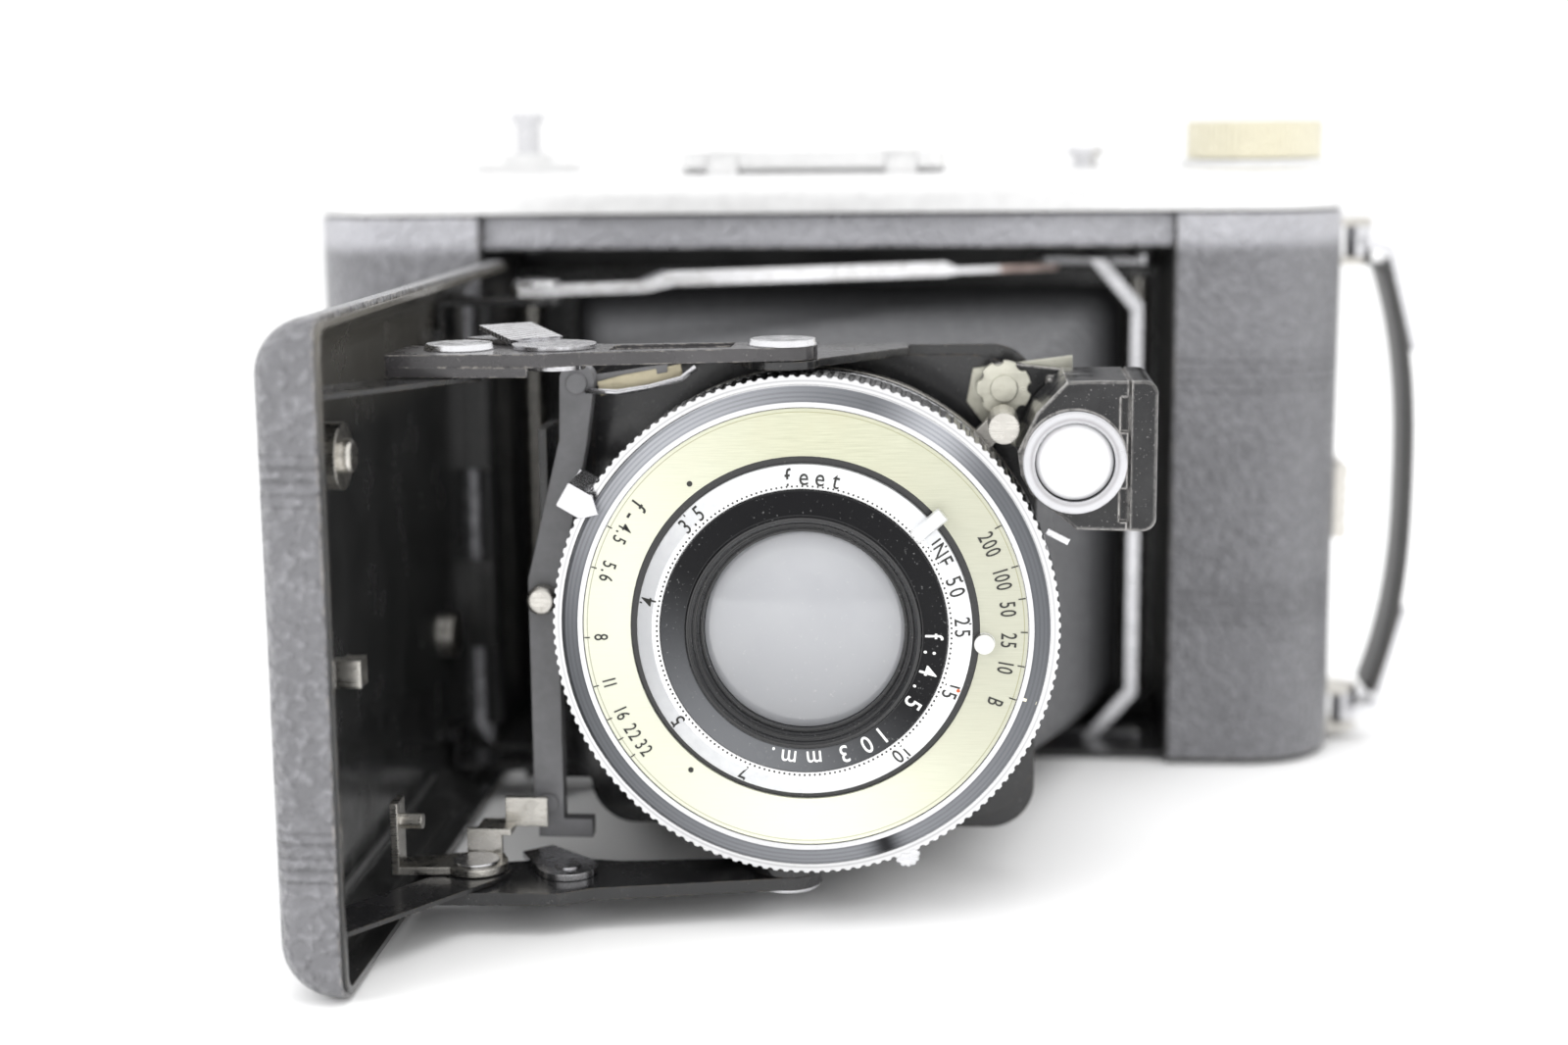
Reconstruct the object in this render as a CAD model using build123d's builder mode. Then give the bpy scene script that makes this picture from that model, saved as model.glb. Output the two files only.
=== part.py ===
from build123d import *
import os

os.makedirs("parts", exist_ok=True)

# Self-erecting folding roll-film camera, shown with its bed open.
# Millimetres. +X to the right, +Y to the back, +Z up, base underside at Z = 0,
# lens axis at X = 0. Depths ahead of the front panel are turned into Y by front().

# body
BODY_LEFT = -82.0
BODY_RIGHT = 76.5
BODY_DEPTH = 37.0
BODY_HEIGHT = 84.5
BODY_CORNER = 14.0
WALL = 1.5
FLOOR = 1.0
COVER = 0.6
SEAM_Y = 12.0
OPEN_LEFT = -54.3
OPEN_RIGHT = 50.2
OPEN_TOP = 79.0
RECESS = 2.5
GATE_Y = 14.5
GATE_WIDTH = 88.0
GATE_HEIGHT = 57.0
TOP_PLATE_TOP = 90.5
CHAMBER_LEFT_X = -68.3
CHAMBER_RIGHT_X = 63.4
SPOOL_Y = -1.5
WINDOW_X = -1.2
WINDOW_Z = 39.0
ROLLER_LEFT_X = -51.8
ROLLER_RIGHT_X = 47.0
ROLLER_Y = 9.2

# bed
HINGE_X = -54.0
HINGE_F = 1.5
BED_OUT = -58.0
BED_RIM = -50.0
BED_NEAR_F = 2.0
BED_FAR_F = 104.5
BED_LOW = 0.2
BED_HIGH = 77.8
BED_SKIN = 0.8

# folding linkage: pivot 1 on the bed, pivot 3 on the lens standard
P1_X, P1_F = -41.5, 73.5
P2_X, P2_F = -30.2, 72.1
P3_X, P3_F = -2.79, 68.75
STAY_M_X, STAY_M_F = -42.0, 19.5
BAIL_X, BAIL_F = 46.5, -12.0
STAY_K_X, STAY_K_F = 31.465, -17.472
LINK_Z = 37.6
STAY_Z = 39.0
PIVOT_R = 1.45
PIVOT_HOLE = 1.5

# levels above and below the linkage's middle height, used once upward and once downward
EAR_LOW, EAR_HIGH = 31.1, 32.1
LINK_LOW, LINK_HIGH = 32.2, 33.8
# levels of the stays and the bail above and below their own middle height
STAY_LOW, STAY_HIGH = 35.8, 36.8
BAIL_LOW, BAIL_HIGH = 36.9, 37.9

# shutter and lens
LENS_Z = 37.6
RIM_R = 30.8
CASE_R = 28.3
NOSE_R = 22.0
PLATE_R = 26.9
PLATE_HOLE = 21.15
FOCUS_R = 20.25
GLASS_R = 12.1
RIM_TEETH = 150


def front(f):
    """Y of a depth f ahead of the front panel."""
    return -(BODY_DEPTH / 2 + f)


def face_plane(f, x=0.0, z=LENS_Z):
    """A plane facing the subject side: local x is +X, local y is +Z."""
    return Plane(origin=(x, front(f), z), x_dir=(1, 0, 0), z_dir=(0, -1, 0))


def level(side, low, middle=LINK_Z):
    """A horizontal plane at a level above (side 1) or below (side -1) the middle height."""
    return Plane(origin=(0, 0, middle + side * low), x_dir=(1, 0, 0), z_dir=(0, 0, side))


def put(x, f, side=1):
    """Plan position on level(): its local y turns over with the side."""
    return (x, side * front(f))


def block(x0, x1, y0, y1, z0, z1, mode=Mode.ADD):
    with Locations(((x0 + x1) / 2, (y0 + y1) / 2, (z0 + z1) / 2)):
        Box(x1 - x0, y1 - y0, z1 - z0, mode=mode)


def rod(x, y, z0, z1, r, mode=Mode.ADD):
    with Locations((x, y, (z0 + z1) / 2)):
        Cylinder(r, z1 - z0, mode=mode)


def body_outline(inset=0.0, mode=Mode.ADD):
    width = BODY_RIGHT - BODY_LEFT - 2 * inset
    with Locations(((BODY_LEFT + BODY_RIGHT) / 2, 0)):
        RectangleRounded(width, BODY_DEPTH - 2 * inset, BODY_CORNER - inset, mode=mode)


def save(part, label):
    part.label = label
    export_step(part, "parts/" + label + ".step")


# ---------------------------------------------------------------- body

with BuildPart() as body_shell:
    with BuildSketch():
        body_outline(COVER)
    extrude(amount=BODY_HEIGHT)
    with BuildSketch(Plane.XY.offset(FLOOR)):
        body_outline(COVER + WALL)
    extrude(amount=BODY_HEIGHT - FLOOR - WALL, mode=Mode.SUBTRACT)
    # partitions between the bellows bay and the two spool chambers
    block(OPEN_LEFT - WALL, OPEN_LEFT, front(-1), SEAM_Y - 1, FLOOR, BODY_HEIGHT - WALL)
    block(OPEN_RIGHT, OPEN_RIGHT + WALL, front(-1), SEAM_Y - 1, FLOOR, BODY_HEIGHT - WALL)
    # bed opening, and the recessed strip above it
    block(OPEN_LEFT, OPEN_RIGHT, front(5), front(-WALL - COVER - 0.1), -1, OPEN_TOP, Mode.SUBTRACT)
    block(BED_OUT - 1, OPEN_RIGHT, front(5), front(-RECESS - 0.3), -1, FLOOR, Mode.SUBTRACT)
    block(OPEN_LEFT, OPEN_RIGHT, front(5), front(-RECESS), OPEN_TOP, BODY_HEIGHT, Mode.SUBTRACT)
    block(OPEN_LEFT, OPEN_RIGHT, front(-RECESS), front(-RECESS - WALL), OPEN_TOP, BODY_HEIGHT)
    # rear seam
    block(BODY_LEFT - 1, BODY_RIGHT + 1, SEAM_Y, BODY_DEPTH, -1, BODY_HEIGHT + 1, Mode.SUBTRACT)
    # bed hinge knuckles on the left jamb
    for z0, z1 in ((6, 18), (32, 46), (60, 72)):
        rod(HINGE_X, front(HINGE_F), z0, z1, 1.45)
        block(OPEN_LEFT, OPEN_LEFT + 0.9, front(HINGE_F), front(-8), z0, z1)
    rod(HINGE_X, front(HINGE_F), 0, 80, 0.85, Mode.SUBTRACT)
    # bearings for the winding key, the release plunger and the bed button
    rod(CHAMBER_RIGHT_X, SPOOL_Y, 80, 86, 4.0, Mode.SUBTRACT)
    rod(-50.5, 3.0, 80, 86, 2.05, Mode.SUBTRACT)
    rod(38.0, 6.0, 80, 86, 2.05, Mode.SUBTRACT)
    # bail bearings in the floor and ceiling
    rod(BAIL_X, front(BAIL_F), BODY_HEIGHT - WALL - 5.5, BODY_HEIGHT - WALL, 2.4)
    rod(BAIL_X, front(BAIL_F), BODY_HEIGHT - WALL - 6, BODY_HEIGHT, 1.25, Mode.SUBTRACT)
    rod(BAIL_X, front(BAIL_F), -1, 3, 1.25, Mode.SUBTRACT)
    # seat for the tripod bush
    rod(CHAMBER_RIGHT_X, SPOOL_Y, -1, 3, 4.5, Mode.SUBTRACT)

with BuildPart() as body_covering:
    # leather around both grip panels, the ends and the strip above the bed
    with BuildSketch(Plane.XY.offset(0.8)):
        body_outline()
        body_outline(COVER, Mode.SUBTRACT)
    extrude(amount=BODY_HEIGHT - 1.2)
    block(OPEN_LEFT - 0.3, OPEN_RIGHT + 0.3, front(5), front(-RECESS), -1, 90, Mode.SUBTRACT)
    block(BODY_LEFT - 1, BODY_RIGHT + 1, SEAM_Y - 0.3, BODY_DEPTH, -1, 90, Mode.SUBTRACT)
    block(OPEN_LEFT, OPEN_RIGHT, front(-RECESS + 0.5), front(-RECESS), OPEN_TOP + 0.3, 84.1)

with BuildPart() as film_gate:
    block(-55.5, 51.5, SEAM_Y - 0.9, GATE_Y - 0.4, 3.5, 74.6)
    block(-46, 46, GATE_Y - 0.5, GATE_Y, 3.5, 5.0)
    block(-46, 46, GATE_Y - 0.5, GATE_Y, 73.1, 74.6)
    block(
        -GATE_WIDTH / 2,
        GATE_WIDTH / 2,
        0,
        30,
        LENS_Z - GATE_HEIGHT / 2,
        LENS_Z + GATE_HEIGHT / 2,
        Mode.SUBTRACT,
    )
    # roller ears
    for x in (ROLLER_LEFT_X, ROLLER_RIGHT_X):
        for z0, z1 in ((3.5, 4.9), (73.1, 74.6)):
            block(x - 2.1, x + 2.1, ROLLER_Y - 2.1, SEAM_Y - 0.8, z0, z1)

with BuildPart() as tripod_bush_base:
    rod(CHAMBER_RIGHT_X, SPOOL_Y, 0.0, FLOOR, 4.4)
    rod(CHAMBER_RIGHT_X, SPOOL_Y, FLOOR, 6.2, 7.0)
    rod(CHAMBER_RIGHT_X, SPOOL_Y, -1, 5.5, 2.55, Mode.SUBTRACT)

with BuildPart() as top_plate:
    with BuildSketch(Plane.XY.offset(BODY_HEIGHT + 0.05)):
        body_outline(0.1)
    extrude(amount=TOP_PLATE_TOP - BODY_HEIGHT)
    fillet(top_plate.faces().sort_by(Axis.Z)[-1].edges(), 3.5)
    with BuildSketch(Plane.XY.offset(BODY_HEIGHT)):
        body_outline(1.3)
    extrude(amount=TOP_PLATE_TOP - BODY_HEIGHT - 1.2, mode=Mode.SUBTRACT)
    # low round turret under the winding knob
    rod(CHAMBER_RIGHT_X, SPOOL_Y, TOP_PLATE_TOP - 0.5, TOP_PLATE_TOP + 1.2, 11.2)
    rod(CHAMBER_RIGHT_X, SPOOL_Y, 80, 95, 4.0, Mode.SUBTRACT)
    rod(-50.5, 3.0, 80, 95, 3.6, Mode.SUBTRACT)
    rod(38.0, 6.0, 80, 95, 2.6, Mode.SUBTRACT)

with BuildPart() as back_door:
    with BuildSketch():
        body_outline(COVER)
    extrude(amount=BODY_HEIGHT - 0.2)
    with BuildSketch(Plane.XY.offset(WALL)):
        body_outline(COVER + 1.2)
    extrude(amount=BODY_HEIGHT - 2 * WALL - 0.2, mode=Mode.SUBTRACT)
    block(BODY_LEFT - 1, BODY_RIGHT + 1, -30, SEAM_Y + 0.08, -1, 90, Mode.SUBTRACT)
    # hinge knuckles
    for z0, z1 in ((16.1, 29.9), (54.1, 67.9)):
        rod(BODY_LEFT - 0.9, SEAM_Y, z0, z1, 1.5)
        block(BODY_LEFT - 0.9, BODY_LEFT + 4.5, SEAM_Y + 0.08, SEAM_Y + 1.3, z0, z1)
    rod(BODY_LEFT - 0.9, SEAM_Y, 0, 84, 0.85, Mode.SUBTRACT)
    # window hole
    with Locations((WINDOW_X, BODY_DEPTH / 2, WINDOW_Z)):
        Cylinder(5.0, 8, rotation=(90, 0, 0), mode=Mode.SUBTRACT)
    # catch slot in the right-hand return
    block(71, BODY_RIGHT + 1, SEAM_Y + 1.0, SEAM_Y + 2.4, 36, 42, Mode.SUBTRACT)

with BuildPart() as back_covering:
    with BuildSketch(Plane.XY.offset(0.8)):
        body_outline()
        body_outline(COVER, Mode.SUBTRACT)
    extrude(amount=BODY_HEIGHT - 1.4)
    block(BODY_LEFT - 1, BODY_RIGHT + 1, -30, SEAM_Y + 1.6, -1, 90, Mode.SUBTRACT)
    with Locations((4, BODY_DEPTH / 2, WINDOW_Z)):
        Box(24, 8, 17, mode=Mode.SUBTRACT)

with BuildPart() as hinge_pins:
    # bed pin, then the back's pin with its fixed knuckles
    rod(HINGE_X, front(HINGE_F), 6.0, 72.0, 0.8)
    rod(BODY_LEFT - 0.9, SEAM_Y, 4.0, 80.0, 0.8)
    for z0, z1 in ((4, 16), (30, 54), (68, 80)):
        rod(BODY_LEFT - 0.9, SEAM_Y, z0, z1, 1.5)
        block(BODY_LEFT - 0.9, BODY_LEFT + 1.2, SEAM_Y - 1.4, SEAM_Y - 0.1, z0, z1)
        with BuildSketch(Plane.XY.offset(z0 - 0.5)):
            body_outline()
        extrude(amount=z1 - z0 + 1, mode=Mode.SUBTRACT)

with BuildPart() as back_latch:
    # sliding catch on the right-hand end
    block(BODY_RIGHT + 0.05, BODY_RIGHT + 2.2, -6, 6.0, 33, 45)
    fillet(back_latch.edges().filter_by(Axis.Y), 0.8)
    for z in (35.5, 37.5, 39.5, 41.5):
        block(BODY_RIGHT + 1.8, BODY_RIGHT + 3, -7, 7, z, z + 0.8, Mode.SUBTRACT)

with BuildPart() as red_window:
    with Locations((WINDOW_X, BODY_DEPTH / 2 - 1.3, WINDOW_Z)):
        Cylinder(4.95, 1.0, rotation=(90, 0, 0))

with BuildPart() as window_frame:
    block(-7.9, 15.9, BODY_DEPTH / 2 - COVER + 0.02, BODY_DEPTH / 2 + 0.3, 30.6, 47.4)
    fillet(window_frame.edges().filter_by(Axis.Y), 2.0)
    block(-6.4, 14.4, BODY_DEPTH / 2 - 0.3, BODY_DEPTH / 2 + 1, 33, 45, Mode.SUBTRACT)
    with Locations((WINDOW_X, BODY_DEPTH / 2, WINDOW_Z)):
        Cylinder(4.2, 8, rotation=(90, 0, 0), mode=Mode.SUBTRACT)

with BuildPart() as window_cover:
    block(-6.3, 4.1, BODY_DEPTH / 2 - 0.25, BODY_DEPTH / 2 + 0.35, 33.1, 44.9)
    block(-5.6, -4.0, BODY_DEPTH / 2 + 0.3, BODY_DEPTH / 2 + 1.1, 35, 43)

with BuildPart() as pressure_plate:
    block(-47, 47, GATE_Y + 0.1, GATE_Y + 0.9, 6.5, 71.5)
    fillet(pressure_plate.edges().filter_by(Axis.Y), 3.0)
    # leaf springs riveted to its back
    for x in (-26, 26):
        block(x - 12, x + 12, GATE_Y + 0.85, GATE_Y + 1.2, 36, 42)
        block(x - 2, x + 2, GATE_Y + 1.2, BODY_DEPTH / 2 - COVER - 1.22, 36, 42)

with BuildPart() as film_roller_left:
    rod(ROLLER_LEFT_X, ROLLER_Y, 5.0, 73.0, 1.8)

with BuildPart() as film_roller_right:
    rod(ROLLER_RIGHT_X, ROLLER_Y, 5.0, 73.0, 1.8)

for label, x, z_low in (("supply_spool", CHAMBER_LEFT_X, 8.0), ("takeup_spool", CHAMBER_RIGHT_X, 8.0)):
    with BuildPart() as spool:
        rod(x, SPOOL_Y, z_low, z_low + 1.0, 10.3)
        rod(x, SPOOL_Y, z_low + 1.0, z_low + 63.0, 4.0)
        rod(x, SPOOL_Y, z_low + 63.0, z_low + 64.0, 10.3)
        rod(x, SPOOL_Y, z_low - 1, z_low + 8, 2.0, Mode.SUBTRACT)
        rod(x, SPOOL_Y, z_low + 56, z_low + 65, 2.0, Mode.SUBTRACT)
        block(x - 0.5, x + 0.5, SPOOL_Y - 6, SPOOL_Y + 6, 4, 140, Mode.SUBTRACT)
    save(spool.part, label)

with BuildPart() as spool_studs:
    rod(CHAMBER_LEFT_X, SPOOL_Y, FLOOR, 6.9, 3.4)
    rod(CHAMBER_LEFT_X, SPOOL_Y, 6.0, 12.0, 1.9)
    rod(CHAMBER_LEFT_X, SPOOL_Y, 73.5, BODY_HEIGHT - WALL, 3.4)
    rod(CHAMBER_LEFT_X, SPOOL_Y, 68.0, 74.0, 1.9)
    rod(CHAMBER_RIGHT_X, SPOOL_Y, 6.2, 7.4, 3.4)
    rod(CHAMBER_RIGHT_X, SPOOL_Y, 7.0, 12.0, 1.9)

# ---------------------------------------------------------------- top controls

with BuildPart() as wind_knob:
    with BuildSketch(Plane.XY.offset(TOP_PLATE_TOP + 1.4)):
        Circle(10.2)
        with PolarLocations(10.3, 60):
            Circle(0.32, mode=Mode.SUBTRACT)
    extrude(amount=5.6)
    with BuildSketch(Plane.XY.offset(TOP_PLATE_TOP + 6.0)):
        Circle(7.6)
    extrude(amount=2, mode=Mode.SUBTRACT)
    with BuildSketch(Plane.XY.offset(68.2)):
        Rectangle(0.8, 7.4)
    extrude(amount=5.0)
    with BuildSketch(Plane.XY.offset(72.4)):
        Circle(3.9)
    extrude(amount=TOP_PLATE_TOP + 1.4 - 72.4)
wind_knob.part.locate(Location((CHAMBER_RIGHT_X, SPOOL_Y, 0)))

with BuildPart() as release_collar:
    rod(-50.5, 3.0, BODY_HEIGHT + 0.05, TOP_PLATE_TOP + 0.6, 3.5)
    rod(-50.5, 3.0, TOP_PLATE_TOP + 0.05, TOP_PLATE_TOP + 1.4, 8.5)
    rod(-50.5, 3.0, TOP_PLATE_TOP + 1.4, TOP_PLATE_TOP + 3.0, 4.2)
    rod(-50.5, 3.0, 80, 100, 2.05, Mode.SUBTRACT)

with BuildPart() as release_plunger:
    rod(-50.5, 3.0, 78.0, 98.4, 2.0)
    rod(-50.5, 3.0, 98.2, 100.0, 2.8)
    fillet(release_plunger.faces().sort_by(Axis.Z)[-1].edges(), 0.6)

with BuildPart() as bed_button:
    rod(38.0, 6.0, 79.0, 93.2, 2.0)
    rod(38.0, 6.0, TOP_PLATE_TOP + 1.9, 93.8, 3.0)
    fillet(bed_button.faces().sort_by(Axis.Z)[-1].edges(), 0.7)

FINDER_Z = TOP_PLATE_TOP + 0.1
FRONT_FRAME_Y = -14.0
REAR_FRAME_Y = 13.0

with BuildPart() as finder_base:
    block(-24, 16, FRONT_FRAME_Y + 2, REAR_FRAME_Y - 2, FINDER_Z - 0.05, FINDER_Z + 0.5)
    for y in (FRONT_FRAME_Y, REAR_FRAME_Y):
        block(-19.8, -15.2, y - 1.2, y + 1.2, FINDER_Z - 0.05, FINDER_Z + 2.4)
        block(7.2, 11.8, y - 1.2, y + 1.2, FINDER_Z - 0.05, FINDER_Z + 2.4)
        with Locations((-4, y, FINDER_Z + 1.5)):
            Cylinder(0.6, 60, rotation=(0, 90, 0), mode=Mode.SUBTRACT)

with BuildPart() as finder_front_frame:
    # lies flat over the base and turns up about its front edge
    block(-24, 16, FRONT_FRAME_Y - 1.0, FRONT_FRAME_Y + 15.5, FINDER_Z + 0.6, FINDER_Z + 3.0)
    fillet(finder_front_frame.edges().filter_by(Axis.Z), 1.6)
    block(-20.5, 12.5, FRONT_FRAME_Y + 3.0, FRONT_FRAME_Y + 13.0, 80, 100, Mode.SUBTRACT)
    block(-19.9, -15.1, FRONT_FRAME_Y - 1.3, FRONT_FRAME_Y + 1.8, 80, 100, Mode.SUBTRACT)
    block(7.1, 11.9, FRONT_FRAME_Y - 1.3, FRONT_FRAME_Y + 1.8, 80, 100, Mode.SUBTRACT)
    with Locations((-4, FRONT_FRAME_Y, FINDER_Z + 1.5)):
        Cylinder(0.55, 34, rotation=(0, 90, 0))

with BuildPart() as finder_front_lens:
    block(-20.4, 12.4, FRONT_FRAME_Y + 3.1, FRONT_FRAME_Y + 12.9, FINDER_Z + 1.0, FINDER_Z + 2.4)

with BuildPart() as finder_rear_frame:
    block(-20, 12, REAR_FRAME_Y - 9.6, REAR_FRAME_Y + 1.0, FINDER_Z + 0.6, FINDER_Z + 2.6)
    fillet(finder_rear_frame.edges().filter_by(Axis.Z), 1.2)
    block(-9.5, 1.5, REAR_FRAME_Y - 8.0, REAR_FRAME_Y - 2.2, 80, 100, Mode.SUBTRACT)
    block(-19.9, -15.1, REAR_FRAME_Y - 1.8, REAR_FRAME_Y + 1.3, 80, 100, Mode.SUBTRACT)
    block(7.1, 11.9, REAR_FRAME_Y - 1.8, REAR_FRAME_Y + 1.3, 80, 100, Mode.SUBTRACT)
    with Locations((-4, REAR_FRAME_Y, FINDER_Z + 1.5)):
        Cylinder(0.55, 31, rotation=(0, 90, 0))

# ---------------------------------------------------------------- carrying handle

HANDLE_X = 80.0
HANDLE_LOW = 5.0
HANDLE_HIGH = 79.0
HANDLE_MID = (HANDLE_LOW + HANDLE_HIGH) / 2

with BuildPart() as handle_posts:
    for z in (HANDLE_LOW, HANDLE_HIGH):
        for dz in (-3.6, 2.4):
            block(BODY_RIGHT + 0.05, HANDLE_X, -3.2, 3.2, z + dz, z + dz + 1.2)
            rod(HANDLE_X, 0, z + dz, z + dz + 1.2, 2.0)
    rod(HANDLE_X, 0, 0, 84, 0.85, Mode.SUBTRACT)
    for z in (HANDLE_LOW, HANDLE_HIGH):
        rod(HANDLE_X, 0, z - 3.7, z + 3.7, 0.8)

with BuildPart() as handle_clips:
    # bent strips on the outer face of the strap's ends
    for z, s in ((HANDLE_LOW, 1), (HANDLE_HIGH, -1)):
        with BuildSketch(Plane.XZ):
            with BuildLine():
                Polyline(
                    (HANDLE_X + 0.4, z - 0.9 * s),
                    (HANDLE_X + 4.6, z + 0.6 * s),
                    (HANDLE_X + 8.9, z + 16.5 * s),
                    (HANDLE_X + 7.9, z + 16.8 * s),
                    (HANDLE_X + 3.8, z + 1.6 * s),
                    (HANDLE_X + 0.4, z + 0.9 * s),
                    close=True,
                )
            make_face()
        extrude(amount=5.0, both=True)
        rod(HANDLE_X, 0, z - 2.3, z + 2.3, 2.0)
    rod(HANDLE_X, 0, 0, 84, 0.85, Mode.SUBTRACT)

with BuildPart() as handle_strap:
    with BuildSketch(Plane.XZ):
        with BuildLine():
            Polyline(
                (HANDLE_X + 2.6, HANDLE_LOW + 3.6),
                (HANDLE_X + 4.2, HANDLE_LOW + 3.6),
                (HANDLE_X + 7.7, HANDLE_LOW + 16.6),
                (HANDLE_X + 8.6, HANDLE_LOW + 18.0),
                (HANDLE_X + 9.2, HANDLE_MID),
                (HANDLE_X + 8.6, HANDLE_HIGH - 18.0),
                (HANDLE_X + 7.7, HANDLE_HIGH - 16.6),
                (HANDLE_X + 4.2, HANDLE_HIGH - 3.6),
                (HANDLE_X + 2.6, HANDLE_HIGH - 3.6),
                (HANDLE_X + 5.8, HANDLE_HIGH - 17.0),
                (HANDLE_X + 6.9, HANDLE_MID),
                (HANDLE_X + 5.8, HANDLE_LOW + 17.0),
                close=True,
            )
        make_face()
    extrude(amount=6.5, both=True)

# ---------------------------------------------------------------- bed


def bed_block(inset, rim, mode=Mode.ADD):
    """The bed's outer form, set in by a wall, reaching the rim on its open side."""
    with BuildPart() as form:
        block(
            BED_OUT + inset,
            rim,
            front(BED_FAR_F - inset),
            front(BED_NEAR_F),
            BED_LOW + inset,
            BED_HIGH - inset,
        )
        outer = form.faces().sort_by(Axis.X)[0]
        fillet(outer.edges().filter_by(Axis.Y), 6.6 - inset)
        far = form.edges().filter_by(Axis.Z).group_by(Axis.Y)[0].sort_by(Axis.X)[0]
        fillet(far, 3.2 - inset)
    add(form.part, mode=mode)


with BuildPart() as bed_pan:
    bed_block(COVER, BED_RIM)
    bed_block(COVER + BED_SKIN, BED_RIM + 1, Mode.SUBTRACT)
    # knuckles between those of the body
    for z0, z1 in ((18.1, 31.9), (46.1, 59.9)):
        rod(HINGE_X, front(HINGE_F), z0, z1, 1.45)
        block(BED_OUT + COVER + BED_SKIN - 0.1, HINGE_X, front(3.0), front(2.1), z0, z1)
    rod(HINGE_X, front(HINGE_F), 0, 80, 0.85, Mode.SUBTRACT)
    # tripod bush hole
    with Locations((BED_OUT + 1, front(91.5), 61.0)):
        Cylinder(4.5, 6, rotation=(0, 90, 0), mode=Mode.SUBTRACT)

with BuildPart() as bed_covering:
    bed_block(0.0, BED_RIM - 0.5)
    bed_block(COVER, BED_RIM + 1, Mode.SUBTRACT)
    with Locations((BED_OUT + 1, front(91.5), 61.0)):
        Cylinder(4.5, 6, rotation=(0, 90, 0), mode=Mode.SUBTRACT)

with BuildPart() as tripod_bush_bed:
    # flanged barrel with a blind thread and a domed inner end
    for x0, x1, r in ((0.0, 2.4, 4.4), (1.4, 2.6, 5.0), (2.4, 6.8, 3.9), (6.8, 8.0, 2.0)):
        with Locations((BED_OUT + (x0 + x1) / 2, front(91.5), 61.0)):
            Cylinder(r, x1 - x0, rotation=(0, 90, 0))
    fillet(tripod_bush_bed.faces().sort_by(Axis.X)[-1].edges(), 0.6)
    with Locations((BED_OUT + 2.9, front(91.5), 61.0)):
        Cylinder(2.55, 5.8, rotation=(0, 90, 0), mode=Mode.SUBTRACT)

with BuildPart() as bed_fittings:
    # tab that the body's button catches when the bed is shut
    block(BED_OUT + COVER + BED_SKIN, BED_RIM + 1.6, front(98.6), front(97.0), 35.6, 38.8)
    block(BED_RIM - 0.6, BED_RIM + 1.6, front(97.2), front(95.6), 35.6, 38.8)
    # stops and rivets standing inside the bed
    for f, z, r, reach in ((95.5, 47.0, 2.0, 3.6), (91.0, 24.0, 2.6, 2.2), (20.0, 24.0, 3.2, 1.2)):
        with Locations((BED_OUT + COVER + BED_SKIN + reach / 2, front(f), z)):
            Cylinder(r, reach, rotation=(0, 90, 0))


def bracket_foot(side, f0, f1, top, middle=LINK_Z):
    """Foot on the bed's skin and the riser up to a bracket plate."""
    foot = sorted((middle + side * 28.6, middle + side * 30.3))
    riser = sorted((middle + side * 28.6, middle + side * top))
    block(BED_OUT + 1.45, BED_OUT + 3.1, front(f0), front(f1), *foot)
    block(BED_OUT + 2.4, BED_OUT + 3.1, front(f0), front(f1), *riser)


# bracket plates lie on the inner side of the links; the lower one leaves room for the lock lever
bed_brackets = []
for side, low, high in ((1, 30.4, 31.0), (-1, 31.5, 32.1)):
    with BuildPart() as bracket:
        with BuildSketch(level(side, low)):
            with BuildLine():
                Polyline(
                    put(P1_X - 3.0, P1_F + 3.6, side),
                    put(P1_X + 3.4, P1_F + 3.4, side),
                    put(BED_OUT + 5.4, BED_FAR_F - 6.5, side),
                    put(BED_OUT + 2.4, BED_FAR_F - 6.5, side),
                    put(BED_OUT + 2.4, BED_FAR_F - 15.0, side),
                    put(P1_X - 4.0, P1_F + 1.5, side),
                    close=True,
                )
            make_face()
            with Locations(put(P1_X, P1_F, side)):
                Circle(4.3)
                Circle(PIVOT_HOLE, mode=Mode.SUBTRACT)
        extrude(amount=high - low)
        bracket_foot(side, BED_FAR_F - 6.5, BED_FAR_F - 15.0, high)
    bed_brackets.append(bracket.part)

stay_brackets = []
for side in (1, -1):
    with BuildPart() as bracket:
        with BuildSketch(level(side, STAY_LOW - 2.2, STAY_Z)):
            with Locations(put((STAY_M_X + BED_OUT) / 2 + 1.2, STAY_M_F, side)):
                Rectangle(STAY_M_X - BED_OUT - 2.4, 8.0)
            with Locations(put(STAY_M_X, STAY_M_F, side)):
                Circle(4.0)
                Circle(PIVOT_HOLE, mode=Mode.SUBTRACT)
        extrude(amount=1.0)
        bracket_foot(side, STAY_M_F + 4, STAY_M_F - 4, STAY_LOW - 1.2, STAY_Z)
    stay_brackets.append(bracket.part)


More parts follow.
